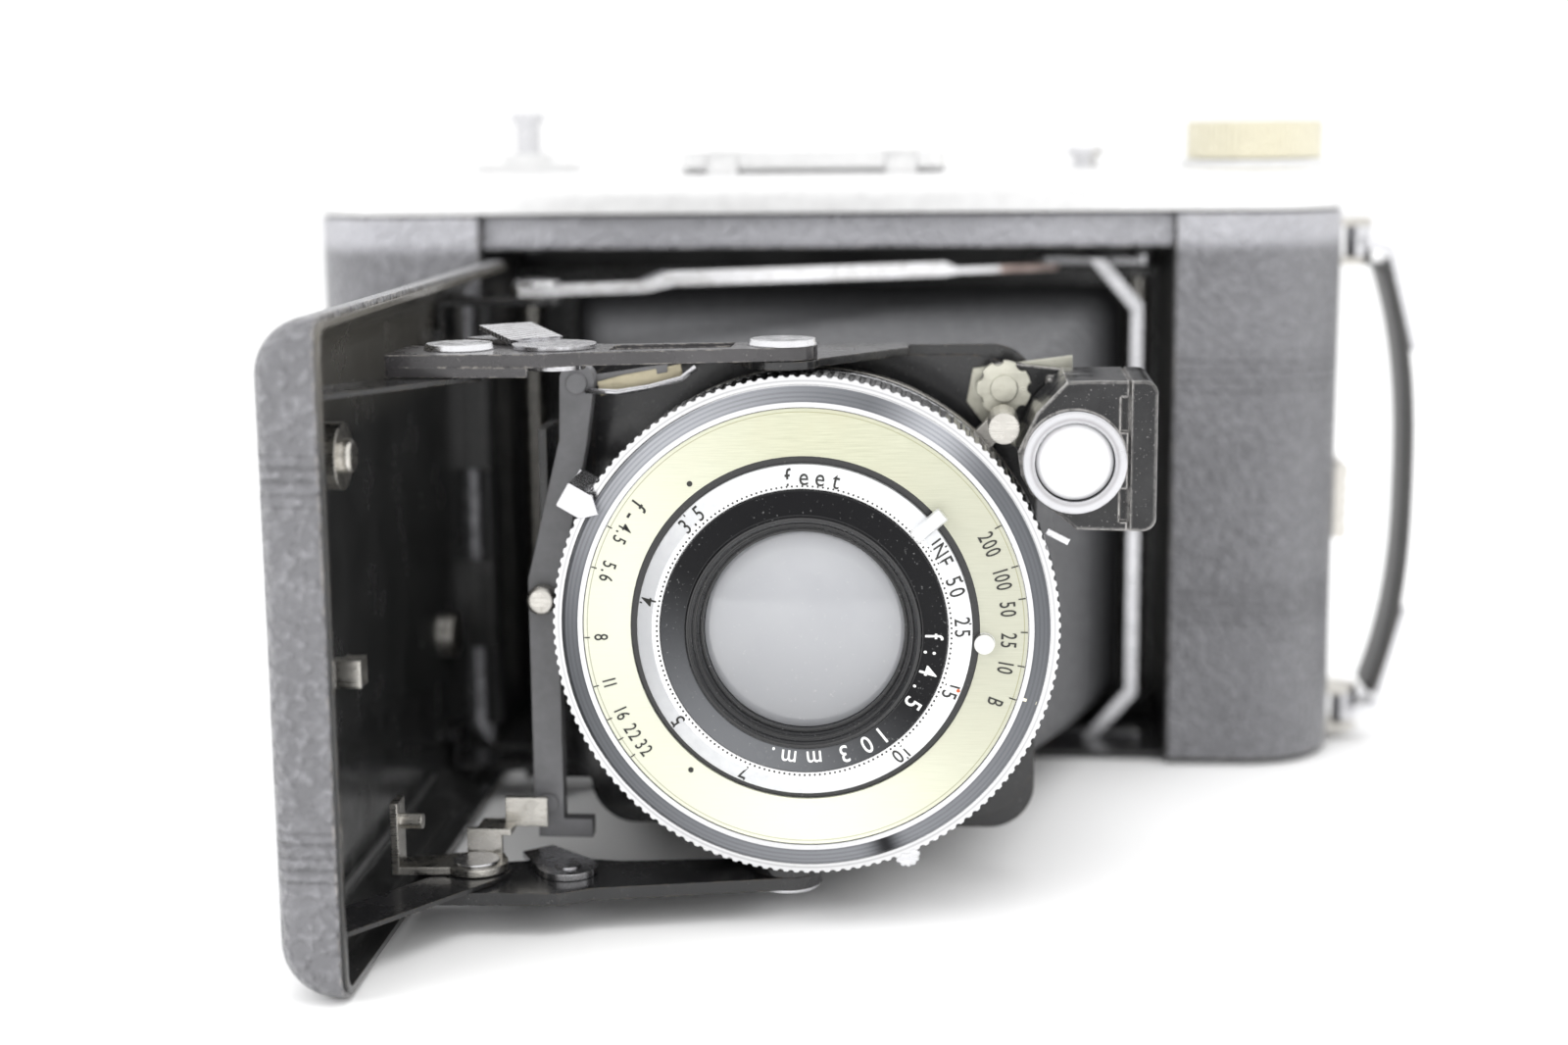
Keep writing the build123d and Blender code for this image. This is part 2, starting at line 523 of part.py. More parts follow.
with BuildPart() as lock_lever:
    # bent lever on the lower bracket pivot, with an upright and a pin
    with BuildSketch(level(-1, 30.4)):
        with BuildLine():
            Polyline(
                put(P1_X + 3.0, P1_F + 2.4, -1),
                put(P1_X + 3.0, P1_F - 3.2, -1),
                put(P1_X - 2.6, P1_F - 3.2, -1),
                put(P1_X - 9.8, P1_F - 0.6, -1),
                put(P1_X - 9.8, P1_F + 3.2, -1),
                close=True,
            )
        make_face()
        with Locations(put(P1_X, P1_F, -1)):
            Circle(3.9)
            Circle(PIVOT_HOLE, mode=Mode.SUBTRACT)
    extrude(amount=0.95)
    block(P1_X - 10.0, P1_X - 9.1, front(P1_F + 3.2), front(P1_F - 0.6), 6.3, 15.4)
    with Locations((P1_X - 8.0, front(P1_F + 1.0), 12.6)):
        Cylinder(0.95, 3.2, rotation=(0, 90, 0))
    # stepped tail that reaches back and up behind the pivot
    block(P1_X - 1.8, P1_X + 2.6, front(P1_F - 3.0), front(P1_F - 3.9), 6.3, 10.4)
    block(P1_X - 0.6, P1_X + 3.8, front(P1_F - 3.0), front(P1_F - 7.6), 9.6, 10.4)
    block(P1_X + 2.4, P1_X + 7.8, front(P1_F - 6.8), front(P1_F - 7.6), 9.6, 13.4)

# ---------------------------------------------------------------- folding linkage

for side, label in ((1, "link_top"), (-1, "link_bottom")):
    with BuildPart() as link:
        with BuildSketch(level(side, LINK_LOW)):
            with BuildLine():
                Polyline(
                    put(P1_X - 7.4, P1_F + 7.2, side),
                    put(P1_X + 11.5, P1_F + 6.6, side),
                    put(P2_X + 4.0, P2_F + 5.8, side),
                    put(P3_X, P3_F + 4.2, side),
                    put(P3_X, P3_F - 4.2, side),
                    put(P2_X + 6.0, P2_F - 4.8, side),
                    put(P2_X, P2_F - 5.8, side),
                    put(P1_X + 2.0, P1_F - 5.0, side),
                    put(P1_X - 7.4, P1_F - 4.0, side),
                    close=True,
                )
            make_face()
            with Locations(put(P3_X, P3_F, side)):
                Circle(4.2)
            for x, f in ((P1_X, P1_F), (P2_X, P2_F), (P3_X, P3_F)):
                with Locations(put(x, f, side)):
                    Circle(PIVOT_HOLE, mode=Mode.SUBTRACT)
        extrude(amount=LINK_HIGH - LINK_LOW)
        # shallow tray between raised edges
        with BuildSketch(level(side, LINK_HIGH - 0.5)):
            with BuildLine():
                Polyline(
                    put(P2_X + 7.0, P2_F + 2.8, side),
                    put(P3_X - 6.0, P3_F + 3.2, side),
                    put(P3_X - 6.0, P3_F - 3.0, side),
                    put(P2_X + 7.0, P2_F - 3.2, side),
                    close=True,
                )
            make_face()
        extrude(amount=2, mode=Mode.SUBTRACT)
        if side > 0:
            # folded lip along the front edge
            y_front = front(P1_F + 7.2)
            z_lip = LINK_Z + 31.1
            block(P1_X - 7.4, P1_X + 9.5, y_front + 0.05, y_front + 0.9, z_lip, LINK_Z + LINK_LOW + 0.1)
    save(link.part, label)

rivets = []
for side, head in ((1, 0.75), (-1, 0.4)):
    for x, f, low in ((P1_X, P1_F, 30.3), (P3_X, P3_F, EAR_LOW + 0.05)):
        with BuildPart() as rivet:
            with BuildSketch(level(side, low)):
                with Locations(put(x, f, side)):
                    Circle(PIVOT_R)
            extrude(amount=LINK_HIGH - low + 0.1)
            with BuildSketch(level(side, LINK_HIGH + 0.02)):
                with Locations(put(x, f, side)):
                    Circle(4.3)
            extrude(amount=head, taper=24)
            if low < EAR_LOW:
                # thin inner head, clear of the finder when folded
                with BuildSketch(level(side, low + 0.05)):
                    with Locations(put(x, f, side)):
                        Circle(2.9)
                extrude(amount=-0.25, taper=20)
        rivets.append(rivet.part)

levers = []
for side, long, wide in ((1, 12.4, 13.0), (-1, 9.0, 9.4)):
    with BuildPart() as lever:
        with BuildSketch(level(side, LINK_HIGH + 0.02)):
            with BuildLine():
                Polyline(
                    put(P2_X + 3.0, P2_F + 2.6, side),
                    put(P2_X + 3.6, P2_F - 2.0, side),
                    put(P2_X - 0.64 * long, P2_F - wide, side),
                    put(P2_X - long, P2_F - 0.62 * wide, side),
                    close=True,
                )
            make_face()
            with Locations(put(P2_X, P2_F, side)):
                Circle(5.1 if side > 0 else 4.3)
        extrude(amount=0.55)
        if side > 0:
            # finger plate bent upward
            thumb = Plane(
                origin=(P2_X, front(P2_F), LINK_Z + LINK_HIGH),
                x_dir=(-0.62, 0.78, 0),
                z_dir=(-0.78, -0.62, 0),
            )
            lift = 1 if thumb.y_dir.Z > 0 else -1
            with BuildSketch(thumb):
                with BuildLine():
                    Polyline(
                        (4.6, 0.3 * lift),
                        (12.9, 1.5 * lift),
                        (12.7, 2.1 * lift),
                        (4.4, 0.9 * lift),
                        close=True,
                    )
                make_face()
            extrude(amount=3.6, both=True)
        with BuildSketch(level(side, LINK_LOW - 1.0)):
            with Locations(put(P2_X, P2_F, side)):
                Circle(PIVOT_R)
        extrude(amount=LINK_HIGH - LINK_LOW + 1.3)
        # serrated finger end
        for step in range(5 if side < 0 else 0):
            spot_x = P2_X - 0.5 * long - 0.75 * step
            spot_f = P2_F - 0.5 * wide - 0.62 * step
            with BuildSketch(level(side, LINK_HIGH + 0.5)):
                with Locations(put(spot_x, spot_f, side)):
                    Rectangle(4.6, 0.35, rotation=side * 50)
            extrude(amount=0.28)
        # catch plate on the inner face of the link
        with BuildSketch(level(side, LINK_LOW - 0.9)):
            with BuildLine():
                Polyline(
                    put(P2_X + 3.4, P2_F + 1.6, side),
                    put(P2_X + 3.0, P2_F - 2.4, side),
                    put(P2_X - 3.4, P2_F - 8.2, side),
                    put(P2_X - 6.8, P2_F - 5.4, side),
                    put(P2_X - 3.4, P2_F + 1.6, side),
                    close=True,
                )
            make_face()
            with Locations(put(P2_X, P2_F, side)):
                Circle(3.7)
        extrude(amount=0.85)
        with BuildSketch(level(side, LINK_LOW - 0.85)):
            with Locations(put(P2_X, P2_F, side)):
                Circle(1.6)
        extrude(amount=-0.25)
    levers.append(lever.part)

stays = []
for side in (1, -1):
    with BuildPart() as stay:
        # the strap's edge line steps outward near the bed end
        reach = ((STAY_K_X - STAY_M_X) ** 2 + (STAY_M_F - STAY_K_F) ** 2) ** 0.5
        along = Plane(
            origin=(STAY_M_X, front(STAY_M_F), STAY_Z),
            x_dir=(STAY_K_X - STAY_M_X, STAY_M_F - STAY_K_F, 0),
            z_dir=(STAY_M_F - STAY_K_F, STAY_M_X - STAY_K_X, 0),
        )
        turn = 1 if along.y_dir.Z * side > 0 else -1
        low, high, deep = STAY_LOW * turn, STAY_HIGH * turn, (turn if side > 0 else 0.0)
        with BuildSketch(along):
            with BuildLine():
                Polyline(
                    (-3.4, low - 1.1 * deep),
                    (16.0, low - 1.1 * deep),
                    (20.0, low - 0.3 * deep),
                    (reach - 18.0, low - 0.3 * deep),
                    (reach - 16.0, low),
                    (reach + 1.5, low),
                    (reach + 1.5, high),
                    (reach - 16.0, high),
                    (reach - 18.0, high + 0.9 * deep),
                    (19.6, high + 0.9 * deep),
                    (15.6, high - 0.4 * deep),
                    (-3.4, high - 0.4 * deep),
                    close=True,
                )
            make_face()
        extrude(amount=1.8, both=True)
        ends = sorted((STAY_Z + side * (STAY_LOW - 2.3), STAY_Z + side * (STAY_HIGH - 0.5)))
        rod(STAY_M_X, front(STAY_M_F), *ends, PIVOT_R)
        if side > 0:
            # round head on the upper stay's bed pivot
            rod(STAY_M_X, front(STAY_M_F), STAY_Z + STAY_HIGH - 0.5, STAY_Z + STAY_HIGH + 0.2, 3.3)
    stays.append(stay.part)

with BuildPart() as bail:
    for side in (1, -1):
        with BuildSketch(level(side, BAIL_LOW, STAY_Z)):
            with BuildLine():
                Polyline(
                    put(BAIL_X, BAIL_F + 1.2, side),
                    put(BAIL_X, BAIL_F - 1.6, side),
                    put(STAY_K_X, STAY_K_F - 2.2, side),
                    put(STAY_K_X - 2.4, STAY_K_F, side),
                    put(STAY_K_X, STAY_K_F + 2.2, side),
                    close=True,
                )
            make_face()
        extrude(amount=BAIL_HIGH - BAIL_LOW)
    with BuildSketch(Plane.XZ.offset(BODY_DEPTH / 2 + BAIL_F - 1.1)):
        with BuildLine():
            Polyline(
                (BAIL_X - 6.0, STAY_Z + BAIL_HIGH),
                (BAIL_X + 0.0, STAY_Z + BAIL_HIGH - 7.0),
                (BAIL_X + 0.0, STAY_Z - BAIL_HIGH + 7.0),
                (BAIL_X - 6.0, STAY_Z - BAIL_HIGH),
                (BAIL_X - 8.6, STAY_Z - BAIL_HIGH),
                (BAIL_X - 1.9, STAY_Z - BAIL_HIGH + 8.0),
                (BAIL_X - 1.9, STAY_Z + BAIL_HIGH - 8.0),
                (BAIL_X - 8.6, STAY_Z + BAIL_HIGH),
                close=True,
            )
        make_face()
    extrude(amount=2.2)
    rod(BAIL_X, front(BAIL_F), 0.1, STAY_Z - BAIL_LOW, 1.2)
    rod(BAIL_X, front(BAIL_F), STAY_Z + BAIL_LOW, 82.0, 1.2)

# ---------------------------------------------------------------- lens standard

with BuildPart() as standard_frame:
    with BuildSketch(face_plane(49.9)):
        with Locations((-1, 0)):
            RectangleRounded(59, 2 * EAR_HIGH, 6)
        Circle(21.0, mode=Mode.SUBTRACT)
    extrude(amount=1.2)
    for side in (1, -1):
        with BuildSketch(level(side, EAR_LOW)):
            with BuildLine():
                Polyline(
                    put(-16, 50.0, side),
                    put(-16, 55.0, side),
                    put(P3_X - 4.4, P3_F, side),
                    put(P3_X + 4.4, P3_F, side),
                    put(12, 55.0, side),
                    put(12, 50.0, side),
                    close=True,
                )
            make_face()
            with Locations(put(P3_X, P3_F, side)):
                Circle(4.4)
                Circle(PIVOT_HOLE, mode=Mode.SUBTRACT)
        extrude(amount=EAR_HIGH - EAR_LOW)
    # lens board pressed to its front
    with BuildSketch(face_plane(51.0)):
        with Locations((-1.5, 0)):
            RectangleRounded(60, 61.6, 9)
        Circle(11.3, mode=Mode.SUBTRACT)
    extrude(amount=0.95)
    # left flange that carries the side bar
    block(-34.8, -29.0, front(52.2), front(51.1), 12, 60)
    block(-34.8, -33.7, front(60.1), front(51.1), 12, 60)

with BuildPart() as side_bar:
    # cranked bar left of the shutter, with an eye at its top and a foot below
    with BuildSketch(face_plane(60.1, z=0.0)):
        with BuildLine():
            Polyline(
                (-36.1, 9.0),
                (-32.3, 9.0),
                (-32.3, 38.5),
                (-28.2, 58.0),
                (-27.0, 66.2),
                (-31.4, 66.2),
                (-31.6, 59.0),
                (-36.1, 41.0),
                close=True,
            )
        make_face()
        with Locations((-29.2, 66.4)):
            Circle(2.2)
    extrude(amount=2.5)
    block(-35.6, -28.6, front(62.6), front(60.3), 7.0, 9.4)
    with Locations(face_plane(62.5, -29.2, 66.0)):
        Cylinder(1.3, 0.9, align=(Align.CENTER, Align.CENTER, Align.MIN))
    with Locations(face_plane(62.5, -34.2, 11.6)):
        Cylinder(1.3, 0.9, align=(Align.CENTER, Align.CENTER, Align.MIN))
    # spring hooks between the bar's eye and the shutter
    with BuildSketch(face_plane(60.2, z=0.0)):
        with BuildLine():
            Polyline((-29.0, 66.6), (-18.0, 68.2), (-18.0, 67.2), (-29.0, 65.0), close=True)
        make_face()
    extrude(amount=0.5)

with BuildPart() as side_button:
    with Locations(face_plane(62.65, -34.2, 38.6)):
        Cylinder(1.85, 2.2, align=(Align.CENTER, Align.CENTER, Align.MIN))
    fillet(side_button.faces().sort_by(Axis.Y)[0].edges(), 0.5)

with BuildPart() as bellows:
    # closed frustum wall from the film gate to the standard
    with BuildSketch(face_plane(-29.6)):
        RectangleRounded(90, 68, 4)
    with BuildSketch(face_plane(49.8)):
        RectangleRounded(52, 50, 4)
    loft()
    with BuildSketch(face_plane(-29.7)):
        RectangleRounded(88.0, 66.0, 3)
    with BuildSketch(face_plane(49.9)):
        RectangleRounded(50, 48, 3)
    loft(mode=Mode.SUBTRACT)

# ---------------------------------------------------------------- shutter

with BuildPart() as shutter_case:
    with BuildSketch(face_plane(52.0)):
        Circle(CASE_R)
    extrude(amount=16.8)
    with BuildSketch(face_plane(68.8)):
        Circle(NOSE_R)
    extrude(amount=6.2)
    with BuildSketch(face_plane(60.0)):
        Circle(16.5)
    extrude(amount=20, mode=Mode.SUBTRACT)
    with BuildSketch(face_plane(51.0)):
        Circle(11.3)
    extrude(amount=12, mode=Mode.SUBTRACT)

with BuildPart() as speed_ring:
    with BuildSketch(face_plane(69.1)):
        Circle(RIM_R)
        Circle(NOSE_R + 0.06, mode=Mode.SUBTRACT)
        with PolarLocations(RIM_R + 0.16, RIM_TEETH):
            Circle(0.42, mode=Mode.SUBTRACT)
    extrude(amount=5.8)
    with BuildSketch(face_plane(74.8)):
        Circle(29.66)
        Circle(27.0, mode=Mode.SUBTRACT)
    extrude(amount=0.8)
    chamfer(speed_ring.faces().sort_by(Axis.Y)[0].edges().sort_by(Edge.length)[-1], 0.5)

with BuildPart() as face_plate:
    with BuildSketch(face_plane(75.02)):
        Circle(PLATE_R)
        Circle(PLATE_HOLE, mode=Mode.SUBTRACT)
    extrude(amount=0.45)
    # index stud, which also stops the focusing pin
    with Locations(face_plane(75.02) * Location((21.65, -1.5, 0))):
        Cylinder(1.2, 1.3, align=(Align.CENTER, Align.CENTER, Align.MIN))

with BuildPart() as aperture_pointer:
    with BuildSketch(face_plane(64.4)):
        Circle(30.2)
        Circle(CASE_R + 0.06, mode=Mode.SUBTRACT)
    extrude(amount=2.0)
    with BuildSketch(face_plane(65.4)):
        with PolarLocations(31.9, 1, start_angle=150):
            Rectangle(3.6, 3.0)
        Circle(29.0, mode=Mode.SUBTRACT)
    extrude(amount=1.0)
    with BuildSketch(face_plane(66.0)):
        with PolarLocations(32.4, 1, start_angle=150):
            Rectangle(2.0, 3.0)
    extrude(amount=10.8)
    with BuildSketch(face_plane(76.1)):
        with PolarLocations(31.6, 1, start_angle=150):
            Polygon((-3.2, 0), (-1.5, -1.6), (1.7, -1.6), (1.7, 1.6), (-1.5, 1.6), align=None)
    extrude(amount=0.7)

with BuildPart() as cocking_lever:
    with BuildSketch(face_plane(61.3)):
        Circle(30.2)
        Circle(CASE_R + 0.06, mode=Mode.SUBTRACT)
    extrude(amount=2.0)
    with BuildSketch(face_plane(61.3)):
        with PolarLocations(31.4, 1, start_angle=-68):
            Rectangle(4.4, 3.6)
        Circle(29.0, mode=Mode.SUBTRACT)
    extrude(amount=2.0)
    with BuildSketch(face_plane(62.5)):
        with PolarLocations(32.6, 1, start_angle=-68):
            Circle(1.6)
            with PolarLocations(1.65, 12):
                Circle(0.22, mode=Mode.SUBTRACT)
    extrude(amount=6.4)

with BuildPart() as shutter_release_lever:
    with BuildSketch(face_plane(58.2)):
        Circle(30.2)
        Circle(CASE_R + 0.06, mode=Mode.SUBTRACT)
    extrude(amount=2.0)
    with BuildSketch(face_plane(58.2)):
        with PolarLocations(32.0, 1, start_angle=44.5):
            Rectangle(5.2, 2.8)
        Circle(29.0, mode=Mode.SUBTRACT)
    extrude(amount=2.0)
    with BuildSketch(face_plane(60.0)):
        with PolarLocations(33.6, 1, start_angle=44.5):
            Circle(1.9)
    extrude(amount=9.0)

with BuildPart() as focus_ring:
    with BuildSketch(Plane.XZ):
        with BuildLine():
            Polyline(
                (14.9, 66.0),
                (16.4, 66.0),
                (16.4, 75.1),
                (FOCUS_R, 75.1),
                (FOCUS_R, 76.2),
                (18.35, 76.9),
                (17.4, 76.9),
                (17.4, 75.6),
                (14.9, 75.6),
                close=True,
            )
        make_face()
    revolve(axis=Axis.Z)
focus_ring.part.locate(Location((0, front(0), LENS_Z), (90, 0, 0)))
with BuildPart() as focus_ring_and_pin:
    add(focus_ring.part)
    pin_plane = face_plane(76.3)
    with Locations(pin_plane * Location((0, 0, 0), (0, 0, 41)) * Location((19.9, 0, 0.95), (0, 90, 0))):
        Cylinder(0.95, 4.4)
    with Locations(pin_plane * Location((0, 0, 0), (0, 0, 41)) * Location((18.6, 0, 0.2))):
        Cylinder(0.9, 1.2)

with BuildPart() as lens_bezel:
    with BuildSketch(Plane.XZ):
        with BuildLine():
            Polyline(
                (14.85, 68.0),
                (14.85, 75.7),
                (17.3, 75.7),
                (17.3, 77.2),
                (14.3, 77.5),
                (14.1, 77.9),
                (13.7, 77.9),
                (13.2, 77.0),
                (12.9, 77.0),
                (12.5, 76.1),
                (12.15, 76.1),
                (12.15, 68.0),
                close=True,
            )
        make_face()
    revolve(axis=Axis.Z)
lens_bezel.part.locate(Location((0, front(0), LENS_Z), (90, 0, 0)))

with BuildPart() as front_glass:
    with BuildSketch(Plane.XZ):
        with BuildLine():
            front_arc = ThreePointArc((0, 77.0), (6.2, 76.55), (GLASS_R, 75.2))
            Line(front_arc @ 1, (GLASS_R, 72.4))
            Line((GLASS_R, 72.4), (0, 71.6))
            Line((0, 71.6), (0, 77.0))
        make_face()
    revolve(axis=Axis.Z)
front_glass.part.locate(Location((0, front(0), LENS_Z), (90, 0, 0)))

with BuildPart() as rear_cell:
    with BuildSketch(face_plane(46.5)):
        Circle(11.2)
        Circle(9.0, mode=Mode.SUBTRACT)
    extrude(amount=12.0)
    with BuildSketch(face_plane(48.7)):
        Circle(13.0)
        Circle(9.0, mode=Mode.SUBTRACT)
    extrude(amount=2.25)

with BuildPart() as rear_glass:
    with BuildSketch(face_plane(47.4)):
        Circle(8.95)
    extrude(amount=3.5)

with BuildPart() as shutter_blades:
    with BuildSketch(face_plane(63.0)):
        Circle(16.3)
        with PolarLocations(8.6, 5):
            Rectangle(18.0, 0.25, mode=Mode.SUBTRACT)
        Circle(0.4, mode=Mode.SUBTRACT)
    extrude(amount=0.3)

# ---------------------------------------------------------------- reflex finder on the standard

FINDER_PIVOT = (24.1, 64.7)
FINDER_LENS = (32.3, 57.75)

with BuildPart() as finder_bracket:
    # plate on the lens board with the pivot screw and its scalloped cap
    with BuildSketch(face_plane(52.0, z=0.0)):
        with BuildLine():
            Polyline(
                (20.2, 66.8),
                (32.8, 68.4),
                (32.8, 64.6),
                (29.6, 58.6),
                (26.0, 56.6),
                (22.4, 58.6),
                (19.4, 62.6),
                close=True,
            )
        make_face()
    extrude(amount=1.2)
    with Locations(face_plane(53.1, *FINDER_PIVOT)):
        Cylinder(2.2, 2.5, align=(Align.CENTER, Align.CENTER, Align.MIN))
    with BuildSketch(face_plane(55.5, *FINDER_PIVOT)):
        Circle(3.45)
        with PolarLocations(3.8, 7):
            Circle(0.85, mode=Mode.SUBTRACT)
    extrude(amount=1.8)
    with Locations(face_plane(57.3, *FINDER_PIVOT)):
        Cylinder(1.7, 0.6, align=(Align.CENTER, Align.CENTER, Align.MIN))

with BuildPart() as reflex_finder:
    with BuildSketch(face_plane(57.0, z=0.0)):
        with BuildLine():
            Polyline(
                (27.7, 63.5),
                (31.3, 67.3),
                (34.0, 67.4),
                (42.1, 67.4),
                (42.1, 49.2),
                (32.6, 49.4),
                (30.9, 50.8),
                (27.2, 53.6),
                (25.9, 56.0),
                (25.5, 58.8),
                close=True,
            )
        make_face()
    extrude(amount=15.5)
    fillet(reflex_finder.edges().filter_by(Axis.Y).group_by(Axis.X)[-1], 1.6)
    fillet(reflex_finder.faces().sort_by(Axis.Y)[0].edges(), 0.35)
    # lug that turns on the bracket's pivot
    with BuildSketch(face_plane(53.5, z=0.0)):
        with BuildLine():
            Polyline((24.1, 67.8), (33.0, 66.8), (36.0, 60.0), (30.5, 57.0), (24.1, 61.6), close=True)
        make_face()
        with Locations(FINDER_PIVOT):
            Circle(3.1)
    extrude(amount=1.7)
    block(29.6, 36.0, front(57.2), front(53.5), 59.0, 66.0)
    with Locations(face_plane(52.5, *FINDER_PIVOT)):
        Cylinder(2.26, 4.0, align=(Align.CENTER, Align.CENTER, Align.MIN), mode=Mode.SUBTRACT)
    # lens rim
    with BuildSketch(face_plane(72.4, *FINDER_LENS)):
        Circle(6.15)
    extrude(amount=1.5)
    with BuildSketch(face_plane(70.0, *FINDER_LENS)):
        Circle(4.75)
    extrude(amount=5, mode=Mode.SUBTRACT)
    # hood joint along the right-hand side
    block(38.6, 38.95, front(72.6), front(71.5), 47, 70, Mode.SUBTRACT)
    block(38.6, 38.95, front(72.6), front(57.0), 67.2, 70, Mode.SUBTRACT)
    for z0, z1 in ((61.2, 65.4), (50.4, 54.4)):
        block(37.7, 38.7, front(72.6), front(71.4), z0, z1, Mode.SUBTRACT)

with BuildPart() as reflex_lens:
    with BuildSketch(face_plane(70.1, *FINDER_LENS)):
        Circle(4.7)
    extrude(amount=3.3)
    fillet(reflex_lens.faces().sort_by(Axis.Y)[0].edges(), 0.9)

# ---------------------------------------------------------------- output

save(body_shell.part, "body_shell")
save(body_covering.part, "body_covering")
save(film_gate.part, "film_gate")
save(tripod_bush_base.part, "tripod_bush_base")
save(top_plate.part, "top_plate")
save(back_door.part, "back_door")
save(back_covering.part, "back_covering")
save(hinge_pins.part, "hinge_pins")
save(back_latch.part, "back_latch")
save(red_window.part, "red_window")
save(window_frame.part, "window_frame")
save(window_cover.part, "window_cover")
save(pressure_plate.part, "pressure_plate")
save(film_roller_left.part, "film_roller_left")
save(film_roller_right.part, "film_roller_right")
save(spool_studs.part, "spool_studs")
save(wind_knob.part, "wind_knob")
save(release_collar.part, "release_collar")
save(release_plunger.part, "release_plunger")
save(bed_button.part, "bed_button")
save(finder_base.part, "finder_base")
save(finder_front_frame.part, "finder_front_frame")
save(finder_front_lens.part, "finder_front_lens")
save(finder_rear_frame.part, "finder_rear_frame")
save(handle_posts.part, "handle_posts")
save(handle_clips.part, "handle_clips")
save(handle_strap.part, "handle_strap")
save(bed_pan.part, "bed_pan")
save(bed_covering.part, "bed_covering")
save(tripod_bush_bed.part, "tripod_bush_bed")
save(bed_fittings.part, "bed_fittings")
save(Compound(children=bed_brackets + stay_brackets), "bed_brackets")
save(lock_lever.part, "lock_lever")
save(Compound(children=rivets), "link_rivets")
save(Compound(children=levers), "release_levers")
save(Compound(children=stays), "side_stays")
save(bail.part, "bail")
save(standard_frame.part, "standard_frame")
save(side_bar.part, "side_bar")
save(side_button.part, "side_button")
save(bellows.part, "bellows")
save(shutter_case.part, "shutter_case")
save(speed_ring.part, "speed_ring")
save(face_plate.part, "face_plate")
save(aperture_pointer.part, "aperture_pointer")
save(cocking_lever.part, "cocking_lever")
save(shutter_release_lever.part, "shutter_release_lever")
save(focus_ring_and_pin.part, "focus_ring")
save(lens_bezel.part, "lens_bezel")
save(front_glass.part, "front_glass")
save(rear_cell.part, "rear_cell")
save(rear_glass.part, "rear_glass")
save(shutter_blades.part, "shutter_blades")
save(finder_bracket.part, "finder_bracket")
save(reflex_finder.part, "reflex_finder")
save(reflex_lens.part, "reflex_lens")
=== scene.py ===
import math

import bpy
from mathutils.bvhtree import BVHTree
from mathutils import Matrix, Vector


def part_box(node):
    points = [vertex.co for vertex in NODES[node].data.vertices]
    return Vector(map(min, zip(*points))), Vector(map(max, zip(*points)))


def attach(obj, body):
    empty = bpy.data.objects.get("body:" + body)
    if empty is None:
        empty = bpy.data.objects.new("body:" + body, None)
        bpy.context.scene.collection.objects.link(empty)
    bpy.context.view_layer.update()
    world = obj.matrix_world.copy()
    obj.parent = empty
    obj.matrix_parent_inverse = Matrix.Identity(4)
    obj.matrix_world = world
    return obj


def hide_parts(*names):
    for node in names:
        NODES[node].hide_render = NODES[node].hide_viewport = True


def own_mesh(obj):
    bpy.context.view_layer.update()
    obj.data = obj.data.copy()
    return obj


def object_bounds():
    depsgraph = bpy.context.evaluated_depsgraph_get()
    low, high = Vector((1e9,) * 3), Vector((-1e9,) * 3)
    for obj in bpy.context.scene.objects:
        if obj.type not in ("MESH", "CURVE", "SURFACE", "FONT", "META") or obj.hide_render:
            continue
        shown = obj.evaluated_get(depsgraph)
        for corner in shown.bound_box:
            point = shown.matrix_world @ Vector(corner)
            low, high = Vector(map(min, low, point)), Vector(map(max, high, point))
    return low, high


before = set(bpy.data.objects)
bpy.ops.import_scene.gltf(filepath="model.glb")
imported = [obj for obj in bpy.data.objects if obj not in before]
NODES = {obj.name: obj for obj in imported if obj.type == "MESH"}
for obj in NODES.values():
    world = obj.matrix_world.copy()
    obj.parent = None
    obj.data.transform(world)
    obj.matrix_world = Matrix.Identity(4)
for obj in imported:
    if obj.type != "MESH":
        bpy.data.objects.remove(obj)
cad_low, cad_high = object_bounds()
MM = 0.001

# ---------------------------------------------------------------- places from the frame

rim_low, rim_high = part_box("speed_ring")
LENS_X = (rim_low.x + rim_high.x) / 2
LENS_Z = (rim_low.z + rim_high.z) / 2
PANEL_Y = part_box("body_covering")[0].y
AXIS = (LENS_X / MM, LENS_Z / MM)

# ---------------------------------------------------------------- dimensions, mm

STRIP_Z = 79.0
BODY_BANDS = ((57.5, 63.5, 4), (22.0, 28.0, 4))
BED_BANDS = ((57.0, 63.0, 4), (14.5, 20.5, 4))
# Heights (mm) over which the bed enamel's painted sheen fades in.
PAINTED_SHEEN_Z = (60.0, 76.0)

LACQUER_RADII = (27.62, 29.55)
KNURL_GROOVE_RADIUS = 30.1
PLATE_HAIRLINE_RADIUS = 26.45
INDEX_STUD = (21.65, -1.5, 1.3)
FOCUS_LAND_RADII = (18.25, 18.4)
BEZEL_CONE_RADIUS = 14.0
NAME_RING_RADIUS = 15.8
FRONT_GLASS_RADIUS = 12.1
FINDER_RIM = (6.3, 5.15, 1.35)
STAY_SLEEVE_X = 24.5
FINGER_PLATE_RISE = 0.72

STOP_RADIUS, STOP_SIZE, STOP_TICKS = 24.9, 2.4, (26.2, 26.85)
SPEED_RADIUS, SPEED_SIZE, SPEED_TICKS = 24.5, 2.7, (26.0, 26.85)
FOCUS_RADIUS, FOCUS_SIZE, FOCUS_TICKS = 18.95, 2.7, (19.85, 20.15)
DOT_RADIUS, DOT_SIZE, DOT_COUNT = 17.75, 0.14, 180
LENS_TEXT_RADIUS, LENS_TEXT_SIZE = 15.55, 3.1
INK_THICK = 0.08 * MM

FOLDS, STEPS_PER_FOLD, FOLD_CORNER_STEPS = 15, 6, 7
FRONT_HALF = (25.0 * MM, 24.0 * MM)
FOLD_DEPTH, FOLD_SKIN, FOLD_SAG = 2.6 * MM, 0.5 * MM, 0.35 * MM

